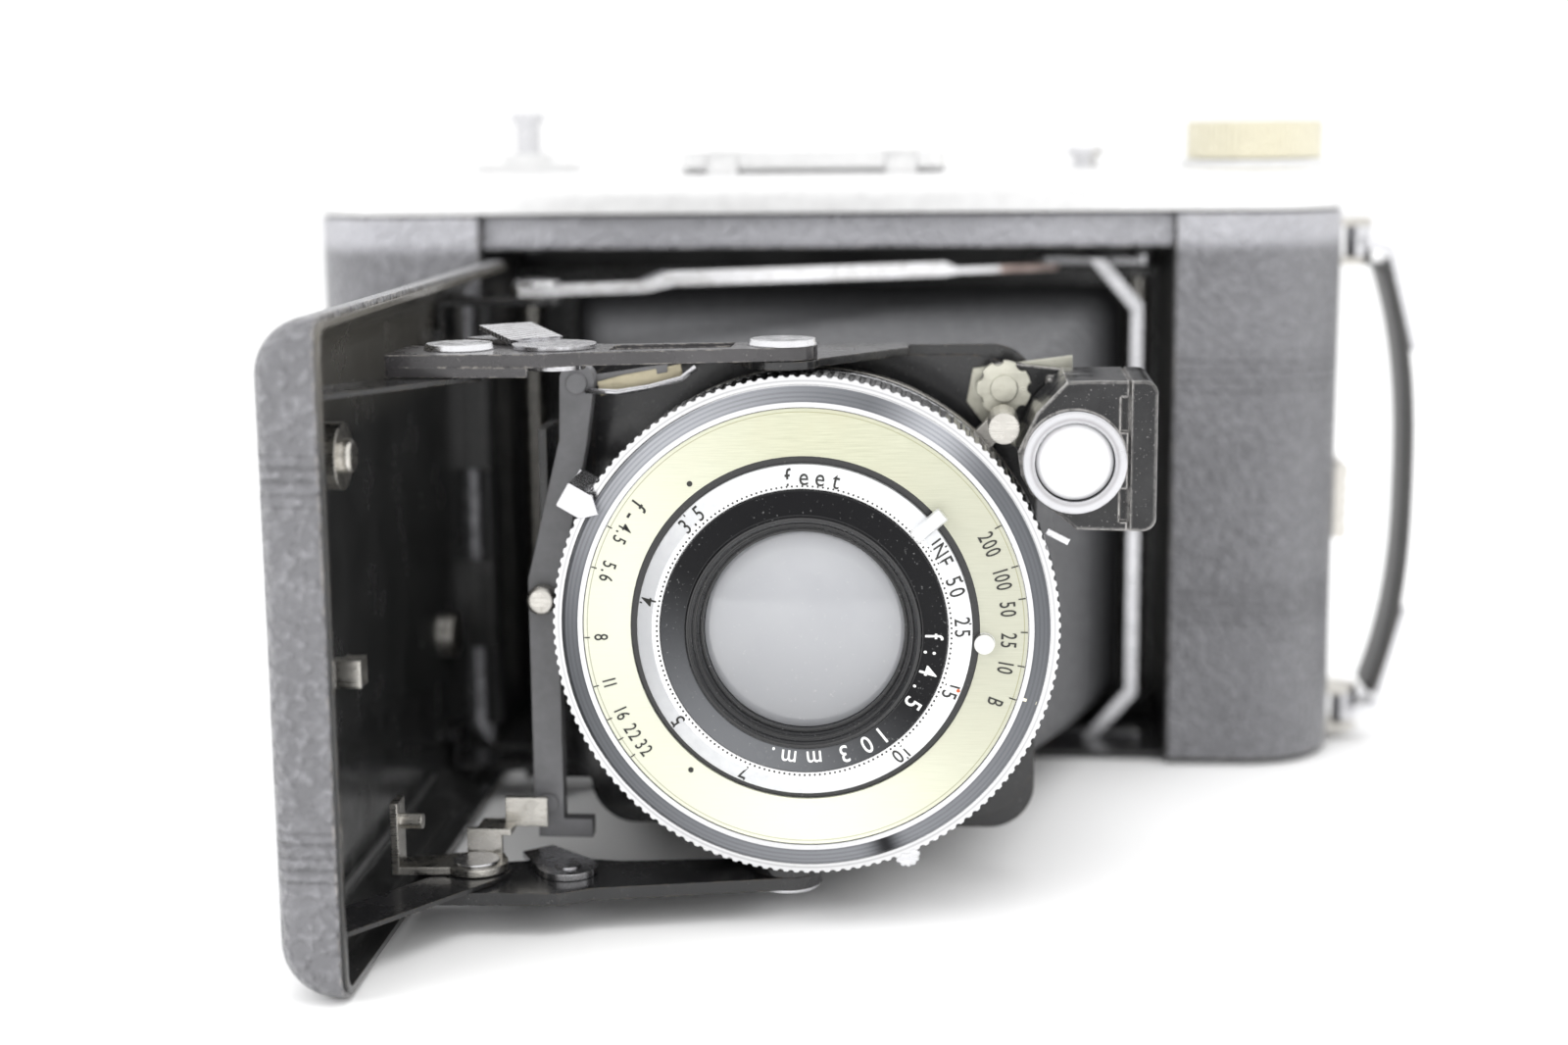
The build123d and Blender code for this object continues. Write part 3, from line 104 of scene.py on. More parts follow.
STRAP_STEPS, STRAP_SIDES = 56, 24
STRAP_BOW, STRAP_HALF_WIDTH, STRAP_HALF_THICK = 4.6, 6.5, 0.85


# ---------------------------------------------------------------- material helpers


class Shader:
    """A Principled material built node by node. Lengths given to it are in millimetres."""

    def __init__(self, name):
        self.mat = bpy.data.materials.new(name)
        self.mat.use_nodes = True
        self.nt = self.mat.node_tree
        self.nt.nodes.clear()
        self.out = self.node("ShaderNodeOutputMaterial")
        self.bsdf = self.node("ShaderNodeBsdfPrincipled")
        self.link(self.bsdf.outputs[0], self.out.inputs[0])
        coord = self.node("ShaderNodeTexCoord")
        scale = self.node("ShaderNodeVectorMath", operation="SCALE")
        scale.inputs["Scale"].default_value = 1000.0
        self.link(coord.outputs["Object"], scale.inputs[0])
        self.mm = scale.outputs[0]
        self.split = None
        self.height = None
        self.bevel = None

    def node(self, kind, **props):
        n = self.nt.nodes.new(kind)
        for k, v in props.items():
            setattr(n, k, v)
        return n

    def link(self, a, b):
        self.nt.links.new(a, b)

    def put(self, socket, value):
        """Set a socket from a number, a colour or another node's output."""
        if hasattr(value, "is_output"):
            self.link(value, socket)
        elif isinstance(value, (tuple, list)) and len(value) == 3 and socket.type == "RGBA":
            socket.default_value = (*value, 1.0)
        else:
            socket.default_value = value

    def set(self, name, value):
        self.put(self.bsdf.inputs[name], value)

    def math(self, op, a, b=0.0, c=0.0, clamp=False):
        n = self.node("ShaderNodeMath", operation=op, use_clamp=clamp)
        for socket, value in zip(n.inputs, (a, b, c)):
            self.put(socket, value)
        return n.outputs[0]

    def mix(self, factor, a, b):
        n = self.node("ShaderNodeMix", data_type="RGBA")
        self.put(n.inputs[0], factor)
        self.put(n.inputs[6], a)
        self.put(n.inputs[7], b)
        return n.outputs[2]

    def fade(self, value, low, high, to_low=0.0, to_high=1.0):
        n = self.node("ShaderNodeMapRange")
        n.clamp = True
        for socket, v in zip(n.inputs[:5], (value, low, high, to_low, to_high)):
            self.put(socket, v)
        return n.outputs[0]

    def axis(self, which):
        if self.split is None:
            self.split = self.node("ShaderNodeSeparateXYZ")
            self.link(self.mm, self.split.inputs[0])
        return self.split.outputs[which]

    def stretch(self, x, y, z):
        n = self.node("ShaderNodeVectorMath", operation="MULTIPLY")
        self.link(self.mm, n.inputs[0])
        n.inputs[1].default_value = (x, y, z)
        return n.outputs[0]

    def noise(self, per_mm, detail=3.0, rough=0.55, vector=None):
        n = self.node("ShaderNodeTexNoise")
        self.link(vector or self.mm, n.inputs["Vector"])
        n.inputs["Scale"].default_value = per_mm
        n.inputs["Detail"].default_value = detail
        n.inputs["Roughness"].default_value = rough
        return n.outputs[0]

    def cells(self, per_mm, feature="F1"):
        n = self.node("ShaderNodeTexVoronoi", feature=feature)
        self.link(self.mm, n.inputs["Vector"])
        n.inputs["Scale"].default_value = per_mm
        n.inputs["Randomness"].default_value = 1.0
        return n.outputs["Distance"]

    def away(self, cx, cz):
        """Signed distances from a point of the front view, in millimetres."""
        dx = self.math("SUBTRACT", self.axis(0), cx)
        dz = self.math("SUBTRACT", self.axis(2), cz)
        return dx, dz

    def radius(self, cx, cz):
        dx, dz = self.away(cx, cz)
        squares = self.math("ADD", self.math("MULTIPLY", dx, dx), self.math("MULTIPLY", dz, dz))
        return self.math("SQRT", squares)

    def angle(self, cx, cz):
        dx, dz = self.away(cx, cz)
        return self.math("ARCTAN2", dz, dx)

    def lobe(self, turn, degrees, power):
        """1 where the angle around the dial equals the given one, fading away from it."""
        c = self.math("COSINE", self.math("SUBTRACT", turn, math.radians(degrees)))
        return self.math("POWER", self.math("MAXIMUM", c, 0.0), power)

    def raise_by(self, value, depth):
        """Add a relief of the given depth in millimetres to the bump."""
        scaled = self.math("MULTIPLY", value, depth)
        self.height = scaled if self.height is None else self.math("ADD", self.height, scaled)

    def edges(self, reach=0.35):
        """1 along sharp edges, 0 elsewhere; also softens those edges in the light."""
        bevel = self.node("ShaderNodeBevel", samples=4)
        bevel.inputs["Radius"].default_value = reach * MM
        geo = self.node("ShaderNodeNewGeometry")
        dot = self.node("ShaderNodeVectorMath", operation="DOT_PRODUCT")
        self.link(bevel.outputs[0], dot.inputs[0])
        self.link(geo.outputs["Normal"], dot.inputs[1])
        self.bevel = bevel.outputs[0]
        return self.fade(dot.outputs["Value"], 0.995, 0.93)

    def finish(self, strength=1.0):
        if self.height is not None:
            bump = self.node("ShaderNodeBump")
            bump.inputs["Distance"].default_value = MM
            bump.inputs["Strength"].default_value = strength
            self.link(self.height, bump.inputs["Height"])
            if self.bevel is not None:
                self.link(self.bevel, bump.inputs["Normal"])
            self.link(bump.outputs[0], self.bsdf.inputs["Normal"])
        elif self.bevel is not None:
            self.link(self.bevel, self.bsdf.inputs["Normal"])
        return self.mat


def shade(colour, factor, lift=0.0):
    """A colour made darker or lighter."""
    return tuple(c * factor + lift for c in colour)


def leather(name, bands, base=(0.19, 0.19, 0.203), grain=1.25, rough=0.32, strip_highlight_gain=0.6):
    """Pebbled leather with embossed pin-stripe bands at the given heights (mm). Its colour holds
    painted shade: lighter pebble tops, darker grain creases and darker stripe grooves; the strip over
    STRIP_Z gets a painted highlight.
    """
    s = Shader(name)
    drift = s.noise(0.05, 3.0)
    swell = s.noise(0.30, 2.0)
    pebble = s.fade(s.noise(grain * 0.8, 1.0, 0.4), 0.34, 0.62)
    cell = s.fade(s.cells(grain, "SMOOTH_F1"), 0.10, 0.60, 1.0, 0.0)
    fine = s.noise(5.0, 4.0, 0.6)
    s.raise_by(pebble, 0.14)
    s.raise_by(cell, 0.50)
    s.raise_by(swell, 0.14)
    s.raise_by(fine, 0.04)
    # Painted shade in the grain: pebble tops lighter, creases darker.
    crease_shade = s.math("SUBTRACT", 1.0, s.math("MULTIPLY", pebble, cell), clamp=True)
    tone = s.mix(s.math("MULTIPLY", crease_shade, 0.7), shade(base, 1.35), shade(base, 0.45))
    # Painted highlight on the strip over STRIP_Z, its strength set by the last argument.
    strip_highlight = s.fade(s.axis(2), STRIP_Z - 0.6, STRIP_Z + 1.5)
    tone = s.mix(s.math("MULTIPLY", strip_highlight, strip_highlight_gain), tone, (0.60, 0.60, 0.64))
    tone = s.mix(s.fade(drift, 0.40, 0.65, 0.0, 0.3), tone, shade(base, 1.2))
    for low, high, lines in bands:
        pitch = (high - low) / lines
        z = s.axis(2)
        inside = s.math("MULTIPLY", s.math("GREATER_THAN", z, low), s.math("LESS_THAN", z, high))
        wave = s.math("PINGPONG", s.math("SUBTRACT", z, low), pitch / 2)
        groove = s.fade(wave, 0.0, pitch * 0.30, 1.0, 0.0)
        line = s.math("MULTIPLY", inside, groove)
        s.raise_by(line, -0.30)
        # Painted shade in the stripe grooves.
        tone = s.mix(s.math("MULTIPLY", line, 0.5), tone, shade(base, 0.4))
    wear = s.edges(0.5)
    patchy = s.fade(s.noise(0.6, 4.0, 0.7), 0.45, 0.60)
    tone = s.mix(s.math("MULTIPLY", s.math("MULTIPLY", wear, patchy), 0.8), tone, (0.34, 0.31, 0.28))
    s.set("Base Color", tone)
    s.set("Roughness", s.fade(fine, 0.3, 0.7, rough - 0.06, rough + 0.12))
    s.set("Specular IOR Level", 0.5)
    s.set("Sheen Weight", 0.15)
    s.set("Sheen Roughness", 0.4)
    return s.finish(0.9)


def enamel(
    name,
    base=(0.012, 0.012, 0.013),
    rough=0.16,
    worn=(0.16, 0.125, 0.09),
    wear=0.5,
    painted_sheen=None,
):
    """Baked enamel: orange peel, smudges, dust and rubbed edges. The last argument, if given, is a
    colour for a painted sheen on its top.
    """
    s = Shader(name)
    smudge = s.noise(0.12, 4.0, 0.65)
    dots = s.noise(3.2, 2.0, 0.4)
    s.raise_by(s.noise(1.1, 2.0), 0.012)
    edge = s.edges(0.28)
    rub = s.math("MULTIPLY", edge, s.fade(s.noise(0.8, 4.0, 0.7), 0.46, 0.60, 0.0, wear))
    speck = s.fade(dots, 0.70, 0.76, 0.0, 0.4)
    film = s.fade(smudge, 0.42, 0.70, 0.0, 0.35)
    tone = s.mix(film, base, shade(base, 2.2, 0.012))
    # Painted sheen: the top of the enamel is lightened towards the given colour.
    if painted_sheen:
        tone = s.mix(s.fade(s.axis(2), *PAINTED_SHEEN_Z, 0.0, 0.9), tone, painted_sheen)
    tone = s.mix(speck, tone, (0.24, 0.23, 0.22))
    tone = s.mix(rub, tone, worn)
    s.set("Base Color", tone)
    s.set("Metallic", s.math("MULTIPLY", rub, 0.8))
    s.set("Roughness", s.fade(smudge, 0.35, 0.75, rough, rough + 0.22))
    s.set("Coat Weight", 0.25)
    s.set("Coat Roughness", 0.08)
    return s.finish(1.0)


def metal(
    name,
    base,
    rough=0.22,
    spots=0.25,
    dirt=(0.22, 0.19, 0.15),
    scratch=0.3,
    brush=(0.25, 3.0, 9.0),
):
    """Plated or polished metal with haze, fine scratches and tarnish in patches."""
    s = Shader(name)
    haze = s.noise(0.5, 4.0, 0.6)
    tarnish = s.fade(s.noise(1.3, 5.0, 0.7), 0.56, 0.72, 0.0, spots)
    lines = s.noise(1.0, 3.0, 0.6, s.stretch(*brush))
    s.edges(0.25)
    tone = s.mix(tarnish, base, dirt)
    tone = s.mix(s.fade(haze, 0.4, 0.7, 0.0, 0.18), tone, shade(base, 0.72))
    s.set("Base Color", tone)
    s.set("Metallic", 1.0)
    cloudy = s.fade(haze, 0.3, 0.7, rough - 0.04, rough + 0.08)
    scored = s.math("MULTIPLY", s.fade(lines, 0.45, 0.6), 0.08 + 0.1 * scratch)
    s.set("Roughness", s.math("ADD", cloudy, scored, clamp=True))
    s.raise_by(lines, 0.02 * scratch)
    return s.finish(1.0)


def glass(name, tint, rough, haze, through=0.45, rim=None):
    """Coated glass with dust; rim = the radius of a lens on the dial's axis, with painted shade at its
    edge and towards its bottom.
    """
    s = Shader(name)
    dust = s.fade(s.noise(1.6, 4.0, 0.7), 0.62, 0.76, 0.0, 0.35)
    cloud = s.noise(0.12, 3.0)
    tone = s.mix(s.fade(cloud, 0.35, 0.7), haze, tint)
    if rim:
        # Painted shade: darker at the lens edge and towards its bottom.
        z = AXIS[1]
        out = s.fade(s.radius(0.0, z), rim * 0.80, rim * 1.02)
        low = s.fade(s.axis(2), z - rim, z + rim, 0.55, 0.0)
        rim_shade = s.math("MAXIMUM", s.math("MULTIPLY", out, 0.45), low)
        tone = s.mix(rim_shade, tone, shade(tint, 0.45))
    s.set("Base Color", s.mix(dust, tone, (0.8, 0.8, 0.8)))
    s.set("Transmission Weight", s.fade(cloud, 0.3, 0.7, through, through * 0.8))
    s.set("Roughness", rough)
    s.set("IOR", 1.52)
    s.set("Coat Weight", 1.0)
    s.set("Coat Roughness", 0.02)
    return s.finish()


MATS = {
    "cover": leather("covering_leather", BODY_BANDS),
    "bed_cover": leather("bed_leather", BED_BANDS, (0.175, 0.175, 0.186), 1.0, 0.30, 0.0),
    "enamel": enamel("black_enamel"),
    # The bed enamel gets a painted sheen towards its top.
    "pan": enamel("bed_enamel", (0.026, 0.026, 0.026), 0.12, painted_sheen=(0.16, 0.15, 0.13)),
    "shell": enamel("shell_black", (0.02, 0.02, 0.021), 0.32, wear=0.35),
    "bar": enamel("satin_black", (0.17, 0.17, 0.178), 0.34, wear=0.35),
    "link": enamel("link_enamel", (0.036, 0.034, 0.036), 0.18, (0.45, 0.42, 0.38), 0.8),
    "silver": metal("satin_silver", (0.86, 0.86, 0.86), 0.36, 0.06, scratch=0.2, brush=(0.4, 6.0, 6.0)),
    "nickel": metal("worn_nickel", (0.60, 0.58, 0.54), 0.24, 0.45),
    "pale_nickel": metal("pale_nickel", (0.66, 0.65, 0.56), 0.30, 0.35, (0.42, 0.40, 0.30)),
    "steel": metal("polished_steel", (0.72, 0.72, 0.74), 0.17, 0.2),
    "brass": metal("knurled_brass", (0.84, 0.80, 0.64), 0.26, 0.3, (0.35, 0.28, 0.14)),
    "strap_steel": metal("bail_steel", (0.60, 0.60, 0.62), 0.20, 0.35),
    "spool": enamel("spool_paint", (0.02, 0.02, 0.02), 0.35, (0.5, 0.48, 0.45), 0.7),
    "blades": metal("blued_blades", (0.30, 0.30, 0.32), 0.32, 0.2),
    "front_glass": glass(
        "front_lens_glass", (0.55, 0.56, 0.59), 0.06, (0.68, 0.69, 0.72), rim=FRONT_GLASS_RADIUS
    ),
    "clear_glass": glass("finder_glass", (0.9, 0.9, 0.92), 0.02, (0.95, 0.95, 0.96), 0.3),
    "ruby": glass("ruby_glass", (0.35, 0.01, 0.01), 0.1, (0.30, 0.01, 0.01), 0.5),
}


def speed_ring_material():
    """Knurled chrome rim, dark lacquered ring, then a thin polished ring, by radius. The lacquer
    carries painted highlights, painted reflection streaks and a painted shadow; the knurl groove
    carries painted shade.
    """
    s = Shader("speed_ring_finish")
    r = s.radius(*AXIS)
    turn = s.angle(*AXIS)
    within, beyond = LACQUER_RADII
    dark = s.math("MULTIPLY", s.math("GREATER_THAN", r, within), s.math("LESS_THAN", r, beyond))
    rings = s.math("SINE", s.math("MULTIPLY", r, 40.0))
    tarnish = s.fade(s.noise(1.2, 4.0, 0.7), 0.6, 0.75, 0.0, 0.3)
    chrome = s.mix(tarnish, (0.66, 0.66, 0.67), (0.36, 0.34, 0.32))
    # Painted shade in the knurl groove.
    from_groove = s.math("ABSOLUTE", s.math("SUBTRACT", r, KNURL_GROOVE_RADIUS))
    groove = s.fade(from_groove, 0.0, 0.18, 1.0, 0.0)
    chrome = s.mix(s.math("MULTIPLY", groove, 0.5), chrome, (0.22, 0.22, 0.23))
    # Painted highlights on the lacquer: a broad sweep at 128 degrees, a glint at 57 degrees and a faint
    # lift at the bottom.
    sweep_highlight = s.math("MULTIPLY", s.lobe(turn, 128.0, 5.0), 0.9)
    glint = s.math("MULTIPLY", s.lobe(turn, 57.0, 60.0), 0.9)
    low = s.math("MULTIPLY", s.lobe(turn, -80.0, 2.0), 0.35)
    lit = s.math("MAXIMUM", s.math("MAXIMUM", sweep_highlight, glint), low)
    lacquer = s.mix(lit, (0.11, 0.115, 0.125), (0.42, 0.43, 0.46))
    # Painted reflection streaks: concentric dark bands over the turned finish.
    broad = s.math("SINE", s.math("MULTIPLY", r, 17.0))
    narrow = s.math("SINE", s.math("MULTIPLY", r, 29.0))
    turned = s.math("MULTIPLY", broad, narrow)
    lacquer = s.mix(s.fade(turned, -0.2, 0.9, 0.0, 0.5), lacquer, (0.05, 0.052, 0.06))
    # Painted shadow: a dark patch near -70 degrees.
    lacquer = s.mix(s.lobe(turn, -70.0, 500.0), lacquer, (0.01, 0.01, 0.012))
    s.set("Base Color", s.mix(dark, chrome, lacquer))
    s.set("Metallic", s.fade(dark, 0.0, 1.0, 1.0, 0.2))
    s.set("Roughness", s.fade(dark, 0.0, 1.0, 0.20, 0.30))
    s.set("Specular IOR Level", s.fade(dark, 0.0, 1.0, 0.5, 0.25))
    s.raise_by(s.math("MULTIPLY", rings, dark), 0.006)
    s.edges(0.2)
    return s.finish()


def plate_material():
    """Champagne plate with fine level brushing, scuffs and a hairline ring near its rim; painted light
    at its bottom and left, painted shade at its right.
    """
    s = Shader("champagne_plate")
    r = s.radius(*AXIS)
    turn = s.angle(*AXIS)
    brush = s.noise(1.0, 4.0, 0.65, s.stretch(0.22, 1.0, 9.0))
    blotch = s.noise(0.16, 4.0, 0.6)
    tone = s.mix(s.fade(brush, 0.35, 0.65), (0.46, 0.465, 0.34), (0.58, 0.585, 0.45))
    tone = s.mix(s.fade(blotch, 0.45, 0.7, 0.0, 0.5), tone, (0.52, 0.505, 0.37))
    # Painted light below and left of the dial's centre, painted shade to its right.
    tone = s.mix(s.math("MULTIPLY", s.lobe(turn, -95.0, 2.0), 0.8), tone, (0.84, 0.85, 0.72))
    tone = s.mix(s.math("MULTIPLY", s.lobe(turn, 172.0, 2.0), 0.7), tone, (0.84, 0.85, 0.74))
    tone = s.mix(s.math("MULTIPLY", s.lobe(turn, 8.0, 2.0), 0.6), tone, (0.42, 0.42, 0.37))
    scuff = s.fade(s.noise(1.7, 6.0, 0.8), 0.68, 0.74, 0.0, 0.7)
    tone = s.mix(scuff, tone, (0.72, 0.72, 0.60))
    from_hair = s.math("ABSOLUTE", s.math("SUBTRACT", r, PLATE_HAIRLINE_RADIUS))
    hair = s.math("LESS_THAN", from_hair, 0.06)
    tone = s.mix(s.math("MULTIPLY", hair, 0.6), tone, (0.25, 0.24, 0.12))
    stud_x, stud_z, stud_r = INDEX_STUD
    stud = s.math("LESS_THAN", s.radius(AXIS[0] + stud_x, AXIS[1] + stud_z), stud_r)
    s.set("Base Color", s.mix(stud, tone, (0.70, 0.70, 0.68)))
    s.set("Metallic", s.fade(stud, 0.0, 1.0, 0.3, 0.9))
    s.set("Roughness", s.fade(brush, 0.3, 0.7, 0.34, 0.46))
    s.set("Specular IOR Level", 0.35)
    s.raise_by(brush, 0.012)
    return s.finish()


def focus_material():
    """Satin silver scale ring: grey outer slope, bright inner land."""
    s = Shader("distance_ring_finish")
    r = s.radius(*AXIS)
    turn = s.angle(*AXIS)
    inner = s.fade(r, *FOCUS_LAND_RADII, 1.0, 0.0)
    mottle = s.noise(0.8, 4.0, 0.6)
    grey = s.mix(s.fade(mottle, 0.4, 0.7), (0.80, 0.81, 0.82), (0.72, 0.73, 0.75))
    shadow = s.math("MULTIPLY", s.lobe(turn, 178.0, 3.0), 0.75)
    grey = s.mix(shadow, grey, (0.62, 0.63, 0.65))
    s.set("Base Color", s.mix(inner, grey, (0.78, 0.78, 0.78)))
    s.set("Metallic", 0.7)
    s.set("Roughness", s.fade(inner, 0.0, 1.0, 0.36, 0.24))
    s.edges(0.2)
    s.raise_by(s.noise(6.0, 2.0), 0.01)
    return s.finish()


def finder_material():
    """Glossy black housing with rubbed edges; the raised rim round the lens is bright."""
    s = Shader("finder_housing")
    low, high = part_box("reflex_lens")
    r = s.radius((low.x + high.x) / 2 / MM, (low.z + high.z) / 2 / MM)
    rim_radius, band_radius, rim_depth = FINDER_RIM
    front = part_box("reflex_finder")[0].y / MM
    ahead = s.math("LESS_THAN", s.axis(1), front + rim_depth)
    rim = s.math("MULTIPLY", s.math("LESS_THAN", r, rim_radius), ahead)
    haze = s.noise(0.25, 4.0, 0.6)
    edge = s.edges(0.45)
    rub = s.math("MULTIPLY", edge, s.fade(s.noise(1.1, 4.0, 0.7), 0.36, 0.52, 0.25, 0.95))
    black = s.mix(s.fade(haze, 0.4, 0.7), (0.010, 0.010, 0.011), (0.025, 0.025, 0.026))
    speck = s.fade(s.noise(3.5, 2.0, 0.4), 0.68, 0.74, 0.0, 0.6)
    black = s.mix(speck, black, (0.20, 0.19, 0.19))
    black = s.mix(rub, black, (0.60, 0.58, 0.56))
    band = s.fade(s.math("ABSOLUTE", s.math("SUBTRACT", r, band_radius)), 0.0, 0.35, 1.0, 0.0)
    bright = s.mix(s.math("MULTIPLY", band, 0.7), (0.56, 0.56, 0.58), (0.30, 0.29, 0.30))
    s.set("Base Color", s.mix(rim, black, bright))
    s.set("Metallic", s.math("MAXIMUM", rim, s.math("MULTIPLY", rub, 0.5)))
    s.set("Roughness", s.fade(haze, 0.35, 0.7, 0.12, 0.28))
    s.set("Specular IOR Level", 0.4)
    s.raise_by(s.noise(1.2, 3.0), 0.012)
    return s.finish()


def bezel_material():
    """Black lacquer with turned grooves on the cone inside the name ring."""
    s = Shader("bezel_black")
    r = s.radius(*AXIS)
    turn = s.angle(*AXIS)
    cone = s.fade(r, BEZEL_CONE_RADIUS, BEZEL_CONE_RADIUS + 0.15, 1.0, 0.0)
    rings = s.math("SINE", s.math("MULTIPLY", r, 22.0))
    s.raise_by(s.math("MULTIPLY", rings, cone), 0.03)
    dust = s.fade(s.noise(2.5, 3.0), 0.66, 0.74, 0.0, 0.5)
    from_name = s.math("ABSOLUTE", s.math("SUBTRACT", r, NAME_RING_RADIUS))
    name_land = s.fade(from_name, 1.35, 1.55, 1.0, 0.0)
    lit = s.math("MULTIPLY", name_land, s.lobe(turn, -120.0, 1.6))
    black = s.mix(lit, (0.006, 0.006, 0.007), (0.15, 0.155, 0.165))
    s.set("Base Color", s.mix(dust, black, (0.3, 0.3, 0.3)))
    s.set("Roughness", s.fade(s.noise(0.3, 3.0), 0.35, 0.7, 0.16, 0.32))
    s.set("Specular IOR Level", s.fade(name_land, 0.0, 1.0, 0.5, 0.12))
    s.set("Coat Weight", s.fade(name_land, 0.0, 1.0, 0.4, 0.05))
    s.edges(0.15)
    return s.finish()


def stay_material():
    """Polished stay strap whose bail end is a copper-tinted folded sleeve."""
    s = Shader("stay_steel")
    sleeve = s.math("GREATER_THAN", s.axis(0), STAY_SLEEVE_X)
    haze = s.noise(0.7, 4.0, 0.6)
    steel = s.mix(s.fade(haze, 0.45, 0.7), (0.86, 0.86, 0.88), (0.62, 0.61, 0.60))
    copper = s.mix(s.fade(haze, 0.4, 0.65), (0.66, 0.53, 0.49), (0.46, 0.36, 0.33))
    s.set("Base Color", s.mix(sleeve, steel, copper))
    s.set("Metallic", 1.0)
    s.set("Roughness", s.fade(sleeve, 0.0, 1.0, 0.20, 0.38))
    s.edges(0.2)
    s.raise_by(s.noise(1.0, 3.0, 0.6, s.stretch(0.2, 3.0, 8.0)), 0.008)
    return s.finish()


def lever_material():
    """Worn plated lever whose raised finger plate is serrated, with painted shade in the serrations."""
    s = Shader("serrated_lever")
    haze = s.noise(0.8, 4.0, 0.6)
    run = s.math("ADD", s.math("MULTIPLY", s.axis(0), 5.6), s.math("MULTIPLY", s.axis(1), -4.4))
    teeth = s.math("SINE", run)
    plate_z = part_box("link_top")[1].z / MM + FINGER_PLATE_RISE
    plate = s.math("GREATER_THAN", s.axis(2), plate_z)
    cut = s.math("MULTIPLY", s.fade(teeth, 0.2, 0.8), plate)
    tone = s.mix(s.fade(haze, 0.4, 0.7), (0.58, 0.58, 0.60), (0.42, 0.41, 0.42))
    # Painted shade in the serration grooves of the finger plate.
    s.set("Base Color", s.mix(s.math("MULTIPLY", cut, 0.7), tone, (0.16, 0.16, 0.17)))
    s.set("Metallic", 1.0)
    s.set("Roughness", s.fade(haze, 0.35, 0.7, 0.18, 0.34))
    s.raise_by(cut, -0.10)
    s.edges(0.2)
    return s.finish()


FINISH = {
    "body_shell": "shell",
    "body_covering": "cover",
    "film_gate": "enamel",
    "tripod_bush_base": "nickel",
    "top_plate": "silver",
    "back_door": "shell",
    "back_covering": "cover",
    "hinge_pins": "nickel",
    "back_latch": "nickel",
    "red_window": "ruby",
    "window_frame": "enamel",
    "window_cover": "enamel",
    "pressure_plate": "bar",
    "film_roller_left": "nickel",
    "film_roller_right": "nickel",
    "supply_spool": "spool",
    "takeup_spool": "spool",
    "spool_studs": "nickel",
    "wind_knob": "brass",
    "release_collar": "silver",
    "release_plunger": "steel",
    "bed_button": "steel",
    "finder_base": "silver",
    "finder_front_frame": "silver",
    "finder_front_lens": "clear_glass",
    "finder_rear_frame": "silver",
    "handle_posts": "nickel",
    "handle_clips": "steel",
    "bed_pan": "pan",
    "bed_covering": "bed_cover",
    "tripod_bush_bed": "nickel",
    "bed_fittings": "nickel",
    "bed_brackets": "enamel",
    "lock_lever": "nickel",
    "link_top": "link",
    "link_bottom": "enamel",
    "link_rivets": "steel",
    "bail": "strap_steel",
    "standard_frame": "enamel",
    "side_bar": "bar",
    "side_button": "nickel",
    "shutter_case": "enamel",
    "aperture_pointer": "steel",
    "cocking_lever": "steel",
    "shutter_release_lever": "nickel",
    "front_glass": "front_glass",
    "rear_cell": "enamel",
    "rear_glass": "clear_glass",
    "shutter_blades": "blades",
    "finder_bracket": "pale_nickel",
    "reflex_lens": "clear_glass",
}


def dress(node, material):
    """Puts one material on a CAD node."""
    data = NODES[node].data
    data.materials.clear()
    data.materials.append(material)


for node, key in FINISH.items():
    dress(node, MATS[key])
dress("speed_ring", speed_ring_material())
dress("face_plate", plate_material())
dress("focus_ring", focus_material())
dress("lens_bezel", bezel_material())
dress("side_stays", stay_material())
dress("reflex_finder", finder_material())
dress("release_levers", lever_material())

# ---------------------------------------------------------------- mesh helpers


def show(obj):
    """Adds an object to the scene."""
    bpy.context.scene.collection.objects.link(obj)
    return obj


def tube_faces(rows, sides):
    """Four-sided faces joining rows + 1 rings that have the same number of points."""
    faces = []
    for i in range(rows):
        for k in range(sides):
            a, b = i * sides + k, i * sides + (k + 1) % sides
            faces.append((a, b, b + sides, a + sides))
    return faces


def end_faces(rows, sides):
    """The two faces that close such a tube."""
    return [tuple(range(sides - 1, -1, -1)), tuple(range(rows * sides, (rows + 1) * sides))]


def mesh_object(name, verts, faces, material, body, smooth=True):
    """A mesh with one material that rides on a body, if one is given."""
    mesh = bpy.data.meshes.new(name)
    mesh.from_pydata([tuple(v) for v in verts], [], faces)
    mesh.validate()
    mesh.materials.append(material)
    for poly in mesh.polygons:
        poly.use_smooth = smooth
    obj = show(bpy.data.objects.new(name, mesh))
    if body:
        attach(obj, body)
    return obj


def rounded_ring(half_w, half_h, radius, steps):
    """Points of a rounded rectangle, anticlockwise, evenly split per corner."""
    points = []
    for corner in range(4):
        sx = 1 if corner in (0, 3) else -1
        sy = 1 if corner in (0, 1) else -1
        cx, cy = sx * (half_w - radius), sy * (half_h - radius)
        for k in range(steps + 1):
            a = math.radians(90 * corner + 90 * k / steps)
            points.append((cx + radius * math.cos(a), cy + radius * math.sin(a)))
    return points


# ---------------------------------------------------------------- bellows


def bellows_material():
    """Black coated cloth whose fold ridges are lighter: partly rubbed wear, partly a painted highlight.
    """
    s = Shader("bellows_cloth")
    weave = s.cells(2.2)
    crackle = s.noise(1.2, 5.0, 0.7)
    s.raise_by(weave, 0.04)
    s.raise_by(crackle, 0.05)
    ridge = s.edges(0.6)
    tone = s.mix(s.fade(crackle, 0.4, 0.7), (0.075, 0.076, 0.08), (0.12, 0.121, 0.126))
    # Lighter fold ridges: rubbed wear and a painted highlight.
    s.set("Base Color", s.mix(s.math("MULTIPLY", ridge, 0.5), tone, (0.22, 0.22, 0.225)))
    s.set("Roughness", 0.5)
    return s.finish()


